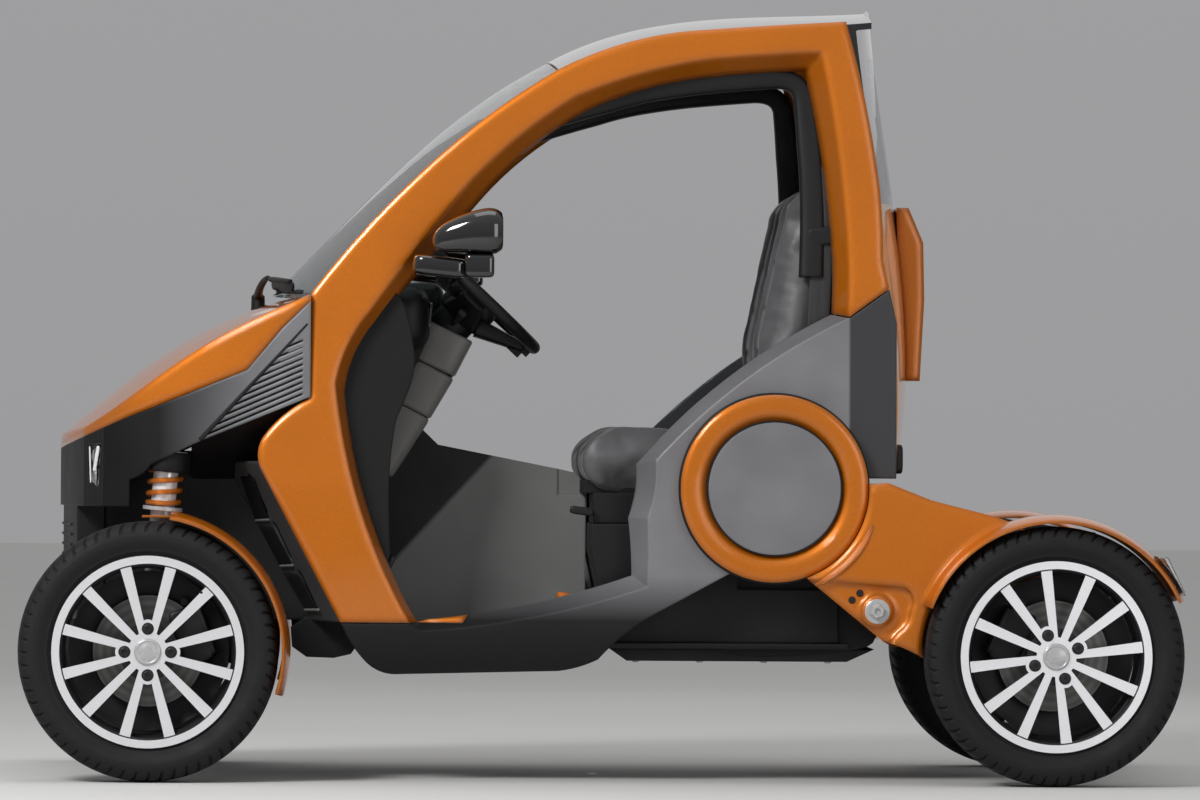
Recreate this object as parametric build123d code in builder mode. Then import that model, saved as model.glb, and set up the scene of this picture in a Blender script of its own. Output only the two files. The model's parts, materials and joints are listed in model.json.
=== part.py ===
"""Open-sided two-seat electric micro car.

Tall door rings, steered front wheels in the open, rear arms on round hubs.

Millimetres. +X forward, +Y left, +Z up, origin on the ground below the middle of the car.
"""
from build123d import *
from math import asin, cos, degrees, radians, sin, sqrt, tan
import os

os.makedirs("parts", exist_ok=True)

# Wheels and axles
front_axle_x = 978.75
rear_axle_x = -978.75
tyre_radius = 281.0
tyre_width = 165.0
sidewall_height = 74.0
sidewall_bulge = 38.0
rim_flange_height = 17.0
rim_barrel_wall = 10.0
rim_width = 150.0
rim_flange_wall = 8.0
spoke_count = 12
spoke_plate_out = 72.0
spoke_plate_wall = 18.0
rim_pad_radius = 62.0
spoke_in_wall = 14.0
spoke_out_wall = 24.0
rim_hub_radius = 43.0
lug_count = 4
lug_circle_radius = 50.0
lug_boss_radius = 20.0
lip_wall = 5.0
lip_depth = 28.0
disc_radius = 120.0
disc_wall = 12.0
hub_radius = 48.0
spindle_radius = 20.0

# Fits
shaft_clearance = 0.1
seat_gap = 0.4
panel_gap = 2.5
wheel_clearance = 7.0

# Steering
caster_angle = 5.0
kingpin_inset = 128.0
knuckle_radius = 36.0
strut_radius = 26.0
spring_radius = 40.0
spring_wire = 10.0
spring_turns = 5
ball_drop = 91.0
tower_rise = 441.0
fender_wall = 5.0
fender_crown = 14.0
fender_half_width = 86.0

# Seats side by side, which set the width of the cabin
seat_width = 420.0
seat_split = 50.0
seat_side_gap = 7.0
arm_plate_wall = 28.0
arm_skin_gap = 20.0

# Side skin of the cabin: heights, and how far each height lies inside the waist
sill_bottom_z = 225.0
sill_tuck = 72.0
sill_edge_z = 330.0
sill_edge_tuck = 7.0
waist_z = 640.0
roof_edge_z = 1665.0
roof_tuck = 55.0
skin_wall = 60.0
skin_over = 65.0

# Round hub of the rear arms
pivot_x = -372.0
pivot_z = 640.0
pivot_ring_radius = 203.0
pivot_cover_radius = 145.0
pivot_lobe_radius = 190.0
pivot_ring_out = 30.0
pivot_tube_radius = 60.0

# Nose
ring_front_x = 633.0
nose_gap = 0.8
nose_wall = 12.0
pod_inset = 137.0
pod_bottom_z = 345.0

# Cabin fittings
floor_z = 290.0
floor_wall = 12.0
glass_wall = 6.0
roof_wall = 14.0
tail_wall = 25.0

cowl_x = ring_front_x + nose_gap
seat_y = (seat_split + seat_width) / 2
arm_plate_y = seat_y + seat_width / 2 + seat_side_gap
waist_half_width = arm_plate_y + arm_plate_wall + arm_skin_gap + skin_wall
sill_half_width = waist_half_width - sill_tuck
sill_edge_half_width = waist_half_width - sill_edge_tuck
roof_half_width = waist_half_width - roof_tuck
outside_y = waist_half_width + 140.0
wheel_y = waist_half_width + pivot_ring_out
kingpin_y = wheel_y - kingpin_inset
pod_half_width = kingpin_y - pod_inset
tower_z = tyre_radius + tower_rise
arm_top_z = tyre_radius - ball_drop
rim_flange_radius = tyre_radius - sidewall_height
rim_seat_radius = rim_flange_radius - rim_flange_height
lip_radius = rim_seat_radius - lip_wall
fender_low = tyre_radius + wheel_clearance
fender_out = fender_low + fender_crown + fender_wall
kingpin_lean = radians(caster_angle)
tumble = (waist_half_width - roof_half_width) / (roof_edge_z - waist_z)
tilt_angle = degrees(asin(tumble / sqrt(1 + tumble * tumble)))


def skin_y(z):
    """Half width of the cabin's outer skin above the waist."""
    return waist_half_width - (z - waist_z) * tumble


def side_plane(y):
    """Plane whose sketch axes are X forward and Z up, and whose normal points to the right side."""
    return Plane(origin=(0, y, 0), x_dir=(1, 0, 0), z_dir=(0, -1, 0))


def skin_plane(depth):
    """Side plane leaning with the tumblehome, a depth inside the outer skin."""
    foot = waist_half_width + waist_z * tumble - depth
    lean = radians(tilt_angle)
    return Plane(origin=(0, foot, 0), x_dir=(1, 0, 0), z_dir=(0, -cos(lean), -sin(lean)))


def trace(rows):
    """Draw a closed outline from rows of (x, z, bow): bow is the arc's rise to the right of travel."""
    for (x, z, bow), (x_next, z_next, _) in zip(rows, rows[1:] + rows[:1]):
        run = Vector(x_next - x, z_next - z)
        if bow == 0:
            Line((x, z), (x_next, z_next))
        else:
            middle = Vector(x + x_next, z + z_next) / 2
            rise = Vector(run.Y, -run.X).normalized() * bow
            ThreePointArc((x, z), tuple(middle + rise)[:2], (x_next, z_next))


def both_sides(left):
    """The same rows on the other side: an outline symmetric in its first column."""
    turned = [(-a, b) for a, b in reversed(left)]
    return turned + left


def mirrored(part, label):
    """The right-hand twin of a left-hand piece."""
    with BuildPart() as twin:
        mirror(part, about=Plane.XZ)
    twin.part.label = label
    return twin.part


def pair(part, label):
    """One node with a left-hand piece and its right-hand twin."""
    with BuildPart() as twins:
        add(part)
        mirror(part, about=Plane.XZ)
    twins.part.label = label
    return twins.part


def save(part, label):
    """Label a finished piece and write it."""
    part.label = label
    export_step(part, f"parts/{label}.step")


# Outlines of the door ring, rows of (x, z, bow)
hub_start_x = pivot_x - sqrt(pivot_lobe_radius**2 - 23.0**2)
hub_end = (pivot_x + 0.398 * pivot_lobe_radius, pivot_z - 0.917 * pivot_lobe_radius)
ring_rows = [
    (92, 241, 0),
    (438, 232, 10),
    (514, 264, 4),
    (562, 339, 0),
    (738, 675, 10),
    (733, 747, 8),
    (ring_front_x, 830, 0),
    (ring_front_x, 1057, 12.5),
    (316, 1393, 6),
    (98, 1547, 18),
    (-222, 1635, 1),
    (-525, 1655, 7),
    (-600, 1289, 2),
    (-607, 1137, 0),
    (-637, 1000, 0),
    (-637, pivot_z + 23, 0),
    (hub_start_x, pivot_z + 23, 95.7),
    (hub_end[0], hub_end[1], 0),
    (-107, 362, -6),
    (6, 267, 4),
]
# Door opening: ridge on the outer face, then the edge a return's depth inside
ridge_rows = [
    (426, 343, 25),
    (581, 863, 12),
    (506, 1024, 3),
    (290, 1308, 9),
    (64, 1493, 9),
    (-222, 1576, 2),
    (-475, 1594, 9),
    (-536, 1136, 1),
    (-535, 1013, -26),
    (-117, 701, 6),
    (-102, 575, 2),
    (-110, 418, 20),
    (401, 310, 3),
]
return_rows = [
    (402, 351, 27),
    (556, 841, 12),
    (495, 985, 3),
    (250, 1283, 13),
    (34, 1459, 11),
    (-222, 1533, 2),
    (-436, 1550, 9),
    (-498, 1136, 1),
    (-497, 1021, -28),
    (-72, 690, 6),
    (-58, 575, 2),
    (-66, 450, 14),
    (378, 352, 3),
]
# Where the painted ring ends and the grey moulding starts
ring_split_rows = [
    (300, 345, 0),
    (900, 345, 0),
    (900, 1800, 0),
    (-900, 1800, 0),
    (-900, 1278, 0),
    (-535, 1013, 0),
    (-400, 1041, 0),
    (0, 800, 0),
]
return_depth = 62.0
skin_top_z = max(z for x, z, bow in ring_rows) + skin_over


# Closed section of the left side skin, rows of (y, z, bow)
skin_rows = [
    (sill_half_width, sill_bottom_z, 12),
    (sill_edge_half_width, sill_edge_z, 2),
    (waist_half_width, waist_z, 0),
    (skin_y(skin_top_z), skin_top_z, 0),
    (skin_y(skin_top_z) - skin_wall, skin_top_z, 0),
    (waist_half_width - skin_wall, waist_z, -2),
    (sill_edge_half_width - skin_wall, sill_edge_z, -12),
    (sill_half_width - skin_wall, sill_bottom_z, 0),
]


def inside_rows(clear):
    """Closed section of the space between the two side skins."""
    left = [
        (sill_half_width - skin_wall - clear, sill_bottom_z),
        (sill_edge_half_width - skin_wall - clear, sill_edge_z),
        (waist_half_width - skin_wall - clear, waist_z),
        (skin_y(skin_top_z) - skin_wall - clear, skin_top_z),
    ]
    bows = [0, -2, -12, 0, 12, 2, 0, 0]
    return [(y, z, bow) for (y, z), bow in zip(both_sides(left), bows)]


with BuildPart() as side_ring:
    with BuildSketch(Plane.YZ.offset(-700)):
        with BuildLine():
            trace(skin_rows)
        make_face()
    extrude(amount=1500)
    with BuildSketch(side_plane(outside_y)):
        with BuildLine():
            trace(ring_rows)
        make_face()
    extrude(amount=400, mode=Mode.INTERSECT)
    with BuildSketch(skin_plane(-1)):
        with BuildLine():
            trace(ridge_rows)
        make_face()
    with BuildSketch(skin_plane(return_depth)):
        with BuildLine():
            trace(return_rows)
        make_face()
    loft(ruled=True, mode=Mode.SUBTRACT)
    with BuildSketch(skin_plane(return_depth)):
        with BuildLine():
            trace(return_rows)
        make_face()
    extrude(amount=120, mode=Mode.SUBTRACT)

with BuildPart() as side_frame_left:
    add(side_ring.part)
    with BuildSketch(side_plane(outside_y)):
        with BuildLine():
            trace(ring_split_rows)
        make_face()
    extrude(amount=400, mode=Mode.INTERSECT)
save(side_frame_left.part, "side_frame_left")
save(mirrored(side_frame_left.part, "side_frame_right"), "side_frame_right")

with BuildPart() as side_moulding_left:
    add(side_ring.part)
    with BuildSketch(side_plane(outside_y)):
        with BuildLine():
            trace(ring_split_rows)
        make_face()
        offset(amount=panel_gap)
    extrude(amount=400, mode=Mode.SUBTRACT)
save(side_moulding_left.part, "side_moulding_left")
save(mirrored(side_moulding_left.part, "side_moulding_right"), "side_moulding_right")


def crescent(x, z, lean, crown, wall, lift):
    """One arched section across the car: edge at (x, z), crown along lean degrees above +X."""
    half = skin_y(z) - skin_wall - seat_gap
    rise = radians(lean)
    with BuildSketch(Plane(origin=(x, 0, z), x_dir=(0, 1, 0), z_dir=(sin(rise), 0, -cos(rise)))) as section:
        with BuildLine():
            Line((-half, -wall), (-half, lift))
            if lift == 0:
                ThreePointArc((-half, lift), (0, crown), (half, lift))
            else:
                Line((-half, lift), (half, lift))
            Line((half, lift), (half, -wall))
            ThreePointArc((half, -wall), (0, crown - wall), (-half, -wall))
        make_face()
    return section.sketch


def arched(rows, wall, lift=0):
    """Arched panel through rows of (x, z, lean, crown)."""
    with BuildPart() as panel:
        for x, z, lean, crown in rows:
            add(crescent(x, z, lean, crown, wall, lift))
        loft()
    return panel.part


windscreen_rows = [
    (ring_front_x, 1057, 0, 88),
    (474, 1243, 44, 46),
    (316, 1393, 52, 42),
    (101, 1545, 62, 34),
]
roof_rows = [
    (97, 1548, 62, 34),
    (-38, 1603, 74, 36),
    (-222, 1635, 84, 39),
    (-584, 1656, 90, 36),
]
tail_rows = [
    (-545, 1690, 180, 56),
    (-598, 1300, 180, 56),
    (-636, 1000, 180, 50),
    (-636, 666, 180, 28),
]

save(arched(windscreen_rows, glass_wall), "windscreen")
roof_panel = arched(roof_rows, roof_wall)
save(roof_panel, "roof_panel")

rear_window_low_z = 1290.0
rear_window_high_z = 1580.0
rear_window_half_width = 350.0
with BuildPart() as window_prism:
    with BuildSketch(Plane.YZ.offset(-800)):
        with Locations((0, (rear_window_low_z + rear_window_high_z) / 2)):
            RectangleRounded(2 * rear_window_half_width, rear_window_high_z - rear_window_low_z, 40)
    extrude(amount=400)

with BuildPart() as tail_panel:
    add(arched(tail_rows, tail_wall))
    add(arched(roof_rows, roof_wall + panel_gap, 200), mode=Mode.SUBTRACT)
    add(roof_panel, mode=Mode.SUBTRACT)
    add(window_prism.part, mode=Mode.SUBTRACT)
save(tail_panel.part.solids().sort_by(SortBy.VOLUME)[-1], "tail_panel")

with BuildPart() as rear_window:
    add(arched(tail_rows, glass_wall))
    with BuildSketch(Plane.YZ.offset(-800)):
        with Locations((0, (rear_window_low_z + rear_window_high_z) / 2)):
            RectangleRounded(
                2 * (rear_window_half_width - seat_gap),
                rear_window_high_z - rear_window_low_z - 2 * seat_gap,
                40 - seat_gap,
            )
    extrude(amount=400, mode=Mode.INTERSECT)
save(rear_window.part, "rear_window")

housing_half_width = 240.0
plate_screw_radius = 3.0
plate_screw_pitch = 300.0
with BuildPart() as plate_housing:
    with BuildSketch(side_plane(housing_half_width)):
        with BuildLine():
            trace(
                [
                    (-664, 877, 0),
                    (-655, 1258, 0),
                    (-681, 1258, 0),
                    (-714, 1181, 0),
                    (-717, 1056, 0),
                    (-708, 877, 0),
                ]
            )
        make_face()
    extrude(amount=2 * housing_half_width)
    add(arched(tail_rows, tail_wall), mode=Mode.SUBTRACT)
with BuildPart() as plate_housing_rear:
    add(plate_housing.part.solids().sort_by(Axis.X)[0])
    with Locations(Plane(origin=(-718, 0, 960), x_dir=(0, 1, 0), z_dir=(-1, 0, 0))):
        with GridLocations(plate_screw_pitch, 0, 2, 1):
            Cylinder(plate_screw_radius, 30, mode=Mode.SUBTRACT)
save(plate_housing_rear.part, "plate_housing")

# Nose: plan outline shared by bonnet, side panels, lamps and bumper
nose_end_x = 1125.0
nose_side_rows = [
    (cowl_x, waist_half_width - 4, 8),
    (940, waist_half_width - 40, 23),
    (nose_end_x, waist_half_width - 160, 60),
]


def nose_rows(inset):
    """Closed plan outline of the nose, set in by a wall."""
    right = [(x - inset * (x == nose_end_x), inset - y, bow) for x, y, bow in nose_side_rows]
    bows = [23, 8, 0]
    left = [(x, -y, bow) for (x, y, _), bow in zip(reversed(right), bows)]
    return right + left


# Bonnet skin: rows of (x, centre height, crease height, half width)
bonnet_rows = [
    (610, 1083, 1062, waist_half_width - 3),
    (803, 1009.5, 975, waist_half_width - 15),
    (971, 918, 868, waist_half_width - 51),
    (1090, 826, 783, waist_half_width - 120),
    (1215, 722, 692, waist_half_width - 160),
]
block_half_width = waist_half_width + 60.0
block_low_z = 500.0
bonnet_edge_rows = [(637, 1037), (694, 981), (770, 890), (1038, 782), (1200, 710)]
bonnet_wall = 12.0


def crowned_block(drop):
    """Everything below the bonnet's crowned top, lowered by a wall."""
    with BuildPart() as block:
        for x, top, crease, half in bonnet_rows:
            edge = top - (top - crease) * (block_half_width / half) ** 2 - drop
            with BuildSketch(Plane.YZ.offset(x)):
                with BuildLine():
                    Polyline(
                        (-block_half_width, edge),
                        (-block_half_width, block_low_z),
                        (block_half_width, block_low_z),
                        (block_half_width, edge),
                    )
                    ThreePointArc((block_half_width, edge), (0, top - drop), (-block_half_width, edge))
                make_face()
        loft()
    return block.part


def nose_block(inset, drop):
    """Nose volume inside the plan outline and below the bonnet's top."""
    with BuildPart() as block:
        with BuildSketch(Plane.XY.offset(520)):
            with BuildLine():
                trace(nose_rows(inset))
            make_face()
        extrude(amount=700)
        add(crowned_block(drop), mode=Mode.INTERSECT)
    return block.part


def below_bonnet_rows(gap):
    """Side outline of what lies below the bonnet's lower edge."""
    edge = [(x, z - gap, 0) for x, z in bonnet_edge_rows]
    return [(1400, 400, 0), (1400, 610, 0)] + edge[::-1] + [(560, 1105 - gap, 0), (560, 400, 0)]


nose_outer = nose_block(0, 0)
nose_inner = nose_block(nose_wall, bonnet_wall)
with BuildPart() as bonnet:
    add(nose_outer)
    add(nose_inner, mode=Mode.SUBTRACT)
    with BuildSketch(side_plane(outside_y)):
        with BuildLine():
            trace(below_bonnet_rows(0))
        make_face()
    extrude(amount=2 * outside_y, mode=Mode.SUBTRACT)
    with BuildSketch(Plane.XY.offset(520)):
        with BuildLine():
            trace(
                [
                    (cowl_x + 3, 80 - waist_half_width, 100),
                    (cowl_x + 3, waist_half_width - 80, 0),
                    (300, waist_half_width - 80, 0),
                    (300, 80 - waist_half_width, 0),
                ]
            )
        make_face()
    extrude(amount=700, mode=Mode.SUBTRACT)
save(bonnet.part, "bonnet")

with BuildPart() as nose_skirt:
    add(nose_outer)
    add(nose_inner, mode=Mode.SUBTRACT)
    with BuildSketch(side_plane(outside_y)):
        with BuildLine():
            trace(below_bonnet_rows(nose_gap))
        make_face()
    extrude(amount=2 * outside_y, mode=Mode.INTERSECT)

nose_split_x = 1080.0
louvre_low = Vector(650, 829)
louvre_tip = Vector(868, 735)
louvre_high = Vector(650, 975)
louvre_count = 10
louvre_pitch = 0.088
louvre_open = 0.03
with BuildPart() as nose_panel_left:
    add(nose_skirt.part)
    with BuildSketch(side_plane(outside_y)):
        with BuildLine():
            trace(
                [
                    (cowl_x, 832, 0),
                    (873, 734, 0),
                    (977, 683, 6),
                    (1024, 650, 0),
                    (1024, 592, 0),
                    (nose_split_x, 592, 0),
                    (nose_split_x, 1100, 0),
                    (cowl_x, 1100, 0),
                ]
            )
        make_face()
    extrude(amount=650, mode=Mode.INTERSECT)
    with BuildSketch(side_plane(outside_y)):
        for row in range(louvre_count):
            low = 0.05 + row * louvre_pitch
            high = low + louvre_open
            with BuildLine():
                Polyline(
                    louvre_low + (louvre_high - louvre_low) * low,
                    louvre_tip + (louvre_high - louvre_tip) * low,
                    louvre_tip + (louvre_high - louvre_tip) * high,
                    louvre_low + (louvre_high - louvre_low) * high,
                    close=True,
                )
            make_face()
    extrude(amount=650, mode=Mode.SUBTRACT)
save(pair(nose_panel_left.part, "nose_panels"), "nose_panels")

lamp_low_z = 632.0
lamp_high_z = 728.0
lamp_rows = [
    (1092, lamp_low_z, 0),
    (1112, lamp_low_z + 20, 0),
    (1118, lamp_high_z, 0),
    (1088, lamp_high_z, 0),
]
with BuildPart() as headlamp_left:
    add(nose_skirt.part)
    with BuildSketch(side_plane(outside_y)):
        with BuildLine():
            trace(lamp_rows)
        make_face()
    extrude(amount=600, mode=Mode.INTERSECT)
save(pair(headlamp_left.part, "headlamps"), "headlamps")

bumper_low_z = 345.0
bumper_back_x = nose_split_x + seat_gap
bumper_half_width = 330.0
bumper_side_x = 1140.0
with BuildPart() as bumper_upper:
    add(nose_skirt.part)
    with BuildSketch(side_plane(outside_y)):
        with BuildLine():
            trace([(bumper_back_x, 592, 0), (1300, 592, 0), (1300, 1000, 0), (bumper_back_x, 1000, 0)])
        make_face()
    extrude(amount=2 * outside_y, mode=Mode.INTERSECT)
    with BuildSketch(side_plane(outside_y)):
        with BuildLine():
            trace(lamp_rows)
        make_face()
        offset(amount=seat_gap)
    extrude(amount=2 * outside_y, mode=Mode.SUBTRACT)
tow_eye_radius = 10.0
tow_eye_depth = 60.0
with BuildPart() as front_bumper:
    with BuildSketch(Plane.XY.offset(bumper_low_z)):
        with BuildLine():
            trace(
                [
                    (bumper_back_x, -bumper_half_width, 0),
                    (bumper_side_x, -bumper_half_width, 38),
                    (bumper_side_x, bumper_half_width, 0),
                    (bumper_back_x, bumper_half_width, 0),
                ]
            )
        make_face()
    extrude(amount=610 - bumper_low_z)
    add(bumper_upper.part)
    with BuildSketch(Plane(origin=(1160, 0, 450), x_dir=(0, 1, 0), z_dir=(1, 0, 0))):
        with Locations((150, 0)):
            Rectangle(60, 60)
    extrude(amount=40, mode=Mode.SUBTRACT)
    with BuildSketch(Plane(origin=(1160, 0, 450), x_dir=(0, 1, 0), z_dir=(1, 0, 0))):
        with Locations((150, 0)):
            Circle(tow_eye_radius)
    extrude(amount=-tow_eye_depth, mode=Mode.SUBTRACT)
save(front_bumper.part, "front_bumper")

# Inner pod between the front wheels, with the towers that hold the strut tops
cheek_foot = Vector(562, 0, 339)
cheek_head = Vector(738, 0, 675)
cheek_run = (cheek_head - cheek_foot).normalized()
pod_wall = 8.0
pod_top_z = 712.0


def steer_plane(height):
    """Plane across the left kingpin at a height above the axle."""
    return Plane(
        origin=(front_axle_x - height * tan(kingpin_lean), kingpin_y, tyre_radius + height),
        x_dir=(cos(kingpin_lean), 0, sin(kingpin_lean)),
        z_dir=(-sin(kingpin_lean), 0, cos(kingpin_lean)),
    )


tower_x = front_axle_x - (tower_z - tyre_radius) * tan(kingpin_lean)
tower_reach = kingpin_y + 22 - pod_half_width
web_clearance = 33.0
web_reach = kingpin_y - spring_radius - web_clearance - pod_half_width
rod_radius = 10.0
with BuildPart() as strut_tower_left:
    with Locations((tower_x, pod_half_width + tower_reach / 2 - 2, tower_z + 10)):
        Box(90, tower_reach + 4, 20)
    with Locations((tower_x, pod_half_width + web_reach / 2 - 2, tower_z - 20)):
        Box(16, web_reach + 4, 60)
    with BuildSketch(steer_plane(tower_z - tyre_radius - 40)):
        Circle(rod_radius + shaft_clearance)
    extrude(amount=100, mode=Mode.SUBTRACT)
with BuildPart() as front_pod:
    with BuildSketch(side_plane(pod_half_width)):
        with BuildLine():
            trace(
                [
                    (630, pod_bottom_z, 0),
                    (nose_split_x, pod_bottom_z, 0),
                    (nose_split_x, pod_top_z, 0),
                    (822, pod_top_z, 0),
                ]
            )
        make_face()
    extrude(amount=2 * pod_half_width)
    with BuildSketch(side_plane(pod_half_width - pod_wall)):
        with BuildLine():
            trace(
                [
                    (645, pod_bottom_z + pod_wall, 0),
                    (nose_split_x - pod_wall, pod_bottom_z + pod_wall, 0),
                    (nose_split_x - pod_wall, 900, 0),
                    (928, 900, 0),
                ]
            )
        make_face()
    extrude(amount=2 * (pod_half_width - pod_wall), mode=Mode.SUBTRACT)
    add(strut_tower_left.part)
    mirror(strut_tower_left.part, about=Plane.XZ)
save(front_pod.part, "front_pod")

# Slotted black panel from the ring's front cheek to the pod
slot_length = 96.0
slot_width = 26.0
panel_wall = 6.0
panel_outer_y = waist_half_width - 24.0
panel_head_z = 690.0
panel_across = Vector(70, pod_half_width + seat_gap - panel_outer_y, 0)
panel_origin = Vector(566, panel_outer_y, 345)
panel_plane = Plane(
    origin=panel_origin,
    x_dir=panel_across.normalized(),
    z_dir=panel_across.cross(Vector(cheek_run.X, 0, cheek_run.Z)).normalized(),
)
panel_up = panel_plane.to_local_coords(panel_origin + Vector(cheek_run.X, 0, cheek_run.Z))
panel_length = (panel_head_z - 345) / cheek_run.Z
with BuildPart() as wheel_well_left:
    with BuildSketch(panel_plane):
        with BuildLine():
            Polyline(
                (0, 0),
                (panel_across.length, 0),
                (panel_across.length + panel_up.X * panel_length, panel_up.Y * panel_length),
                (panel_up.X * panel_length, panel_up.Y * panel_length),
                close=True,
            )
        make_face()
        for along in (0.2, 0.5, 0.8):
            reach = along * panel_length
            with Locations((panel_across.length * 0.5 + panel_up.X * reach, panel_up.Y * reach)):
                SlotOverall(slot_length, slot_width, rotation=90, mode=Mode.SUBTRACT)
    extrude(amount=panel_wall)
    add(front_pod.part, mode=Mode.SUBTRACT)
    add(side_frame_left.part, mode=Mode.SUBTRACT)
save(pair(wheel_well_left.part, "wheel_well_panels"), "wheel_well_panels")

subframe_half_width = pod_half_width - 35.0
subframe_low_z = arm_top_z - 18.0
with BuildPart() as front_subframe:
    with BuildSketch(side_plane(subframe_half_width)):
        with BuildLine():
            trace(
                [
                    (880, subframe_low_z, 0),
                    (1070, subframe_low_z, 0),
                    (1076, pod_bottom_z - seat_gap, 0),
                    (870, pod_bottom_z - seat_gap, 0),
                ]
            )
        make_face()
    extrude(amount=2 * subframe_half_width)
    fillet(front_subframe.edges().filter_by(Axis.Y), 14)
save(front_subframe.part, "front_subframe")

arm_wall = 22.0
ball_plane = steer_plane(arm_top_z - tyre_radius)
with BuildPart() as lower_arm_left:
    with BuildSketch(Plane.XY.offset(arm_top_z - arm_wall - 2)):
        with BuildLine():
            Polyline(
                (890, subframe_half_width + seat_gap),
                (1062, subframe_half_width + seat_gap),
                (1015, kingpin_y + 24),
                (958, kingpin_y + 24),
                close=True,
            )
        make_face()
    extrude(amount=arm_wall)
    with BuildSketch(ball_plane.offset(-12)):
        Circle(14)
    extrude(amount=52)
save(pair(lower_arm_left.part, "lower_arms"), "lower_arms")

# Steered pieces of the left side
knuckle_low = arm_top_z - tyre_radius + 4
with BuildPart() as knuckle_left:
    with BuildSketch(steer_plane(0).offset(knuckle_low)):
        Circle(knuckle_radius)
    extrude(amount=70 - knuckle_low)
    with BuildSketch(side_plane(kingpin_y)):
        with Locations((front_axle_x, tyre_radius)):
            Circle(hub_radius - 6)
    extrude(amount=-(wheel_y - 48 - kingpin_y))
    with BuildSketch(side_plane(kingpin_y)):
        with Locations((front_axle_x, tyre_radius)):
            Circle(spindle_radius)
    extrude(amount=-(wheel_y + 38 - kingpin_y))
    with BuildSketch(ball_plane.offset(-20)):
        Circle(14 + shaft_clearance)
    extrude(amount=62, mode=Mode.SUBTRACT)
save(knuckle_left.part, "knuckle_left")
save(mirrored(knuckle_left.part, "knuckle_right"), "knuckle_right")

spring_low = 312.0
spring_high = 428.0
rod_high = 462.0
with BuildPart() as strut_left:
    with BuildSketch(steer_plane(0).offset(70 + seat_gap)):
        Circle(strut_radius)
    extrude(amount=spring_high + 6 - 70 - seat_gap)
    with BuildSketch(steer_plane(0).offset(spring_low - 8)):
        Circle(spring_radius + 3)
    extrude(amount=8)
    with BuildSketch(steer_plane(0).offset(spring_high)):
        Circle(spring_radius + 3)
    extrude(amount=6)
    with BuildSketch(steer_plane(0).offset(spring_high)):
        Circle(rod_radius)
    extrude(amount=rod_high - spring_high)
save(strut_left.part, "strut_left")
save(mirrored(strut_left.part, "strut_right"), "strut_right")

spring_pitch = (spring_high - spring_low - 2 * seat_gap) / spring_turns
coil_middle = spring_radius - spring_wire / 2
sleeve_out = spring_radius - spring_wire + 1
coil_bore = strut_radius + seat_gap
coil_rows = [(coil_bore, spring_high - seat_gap, 0), (coil_bore, spring_low + seat_gap, 0)]
for turn in range(spring_turns):
    low = spring_low + seat_gap + (turn + 0.5) * spring_pitch - spring_wire / 2
    coil_rows.append((sleeve_out, coil_rows[-1][1], 0))
    coil_rows.append((sleeve_out, low, 0))
    coil_rows.append((coil_middle, low, spring_wire / 2))
    coil_rows.append((coil_middle, low + spring_wire, 0))
    coil_rows.append((sleeve_out, low + spring_wire, 0))
coil_rows.append((sleeve_out, spring_high - seat_gap, 0))
coil_rows = [row for i, row in enumerate(coil_rows) if row[:2] != coil_rows[i - 1][:2]]
with BuildPart() as spring_left:
    with BuildSketch(Plane(origin=steer_plane(0).origin, x_dir=steer_plane(0).x_dir, z_dir=(0, -1, 0))):
        with BuildLine():
            trace(coil_rows)
        make_face()
    revolve(axis=Axis(steer_plane(0).origin, steer_plane(0).z_dir))
save(spring_left.part, "spring_left")
save(mirrored(spring_left.part, "spring_right"), "spring_right")


def fender_section(axle_x):
    """Crowned section of a wheel cover in Y and Z, above the axle."""
    near = wheel_y - fender_half_width
    far = wheel_y + fender_half_width
    low = tyre_radius + fender_low
    high = low + fender_wall
    with BuildSketch(Plane(origin=(axle_x, 0, 0), x_dir=(0, 1, 0), z_dir=(1, 0, 0))) as section:
        with BuildLine():
            ThreePointArc((near, low), (wheel_y, low + fender_crown), (far, low))
            Line((far, low), (far, high))
            ThreePointArc((far, high), (wheel_y, high + fender_crown), (near, high))
            Line((near, high), (near, low))
        make_face()
    return section.sketch


def wheel_axis(axle_x):
    """Axle line of a wheel pair."""
    return Axis((axle_x, 0, tyre_radius), (0, 1, 0))


plate_z = tyre_radius + fender_low
with BuildPart() as front_fender_left:
    add(fender_section(front_axle_x).rotate(wheel_axis(front_axle_x), -9))
    revolve(axis=wheel_axis(front_axle_x), revolution_arc=-99)
    with BuildSketch(Plane.XY.offset(plate_z)):
        with BuildLine():
            Polyline(
                (905, kingpin_y - 38),
                (995, kingpin_y - 38),
                (995, kingpin_y + 78),
                (930, wheel_y + 10),
                (905, wheel_y + 10),
                close=True,
            )
        make_face()
    extrude(amount=fender_wall)
    with BuildSketch(steer_plane(plate_z - tyre_radius - 30)):
        Circle(strut_radius + seat_gap)
    extrude(amount=70, mode=Mode.SUBTRACT)
save(front_fender_left.part, "front_fender_left")
save(mirrored(front_fender_left.part, "front_fender_right"), "front_fender_right")

# Wheels: profiles of (distance outwards from the wheel's middle plane, radius)
rim_half = rim_width / 2
tyre_half = tyre_width / 2
bead_half = rim_half - rim_flange_wall - seat_gap


def wheel_part(axle_x, side, draw):
    """A piece turned about the axle of one wheel."""
    plane = Plane(origin=(axle_x, side * wheel_y, tyre_radius), x_dir=(0, side, 0), z_dir=(1, 0, 0))
    with BuildPart() as turned:
        with BuildSketch(plane):
            with BuildLine():
                trace(draw)
            make_face()
        revolve(axis=wheel_axis(axle_x))
    return turned.part


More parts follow.
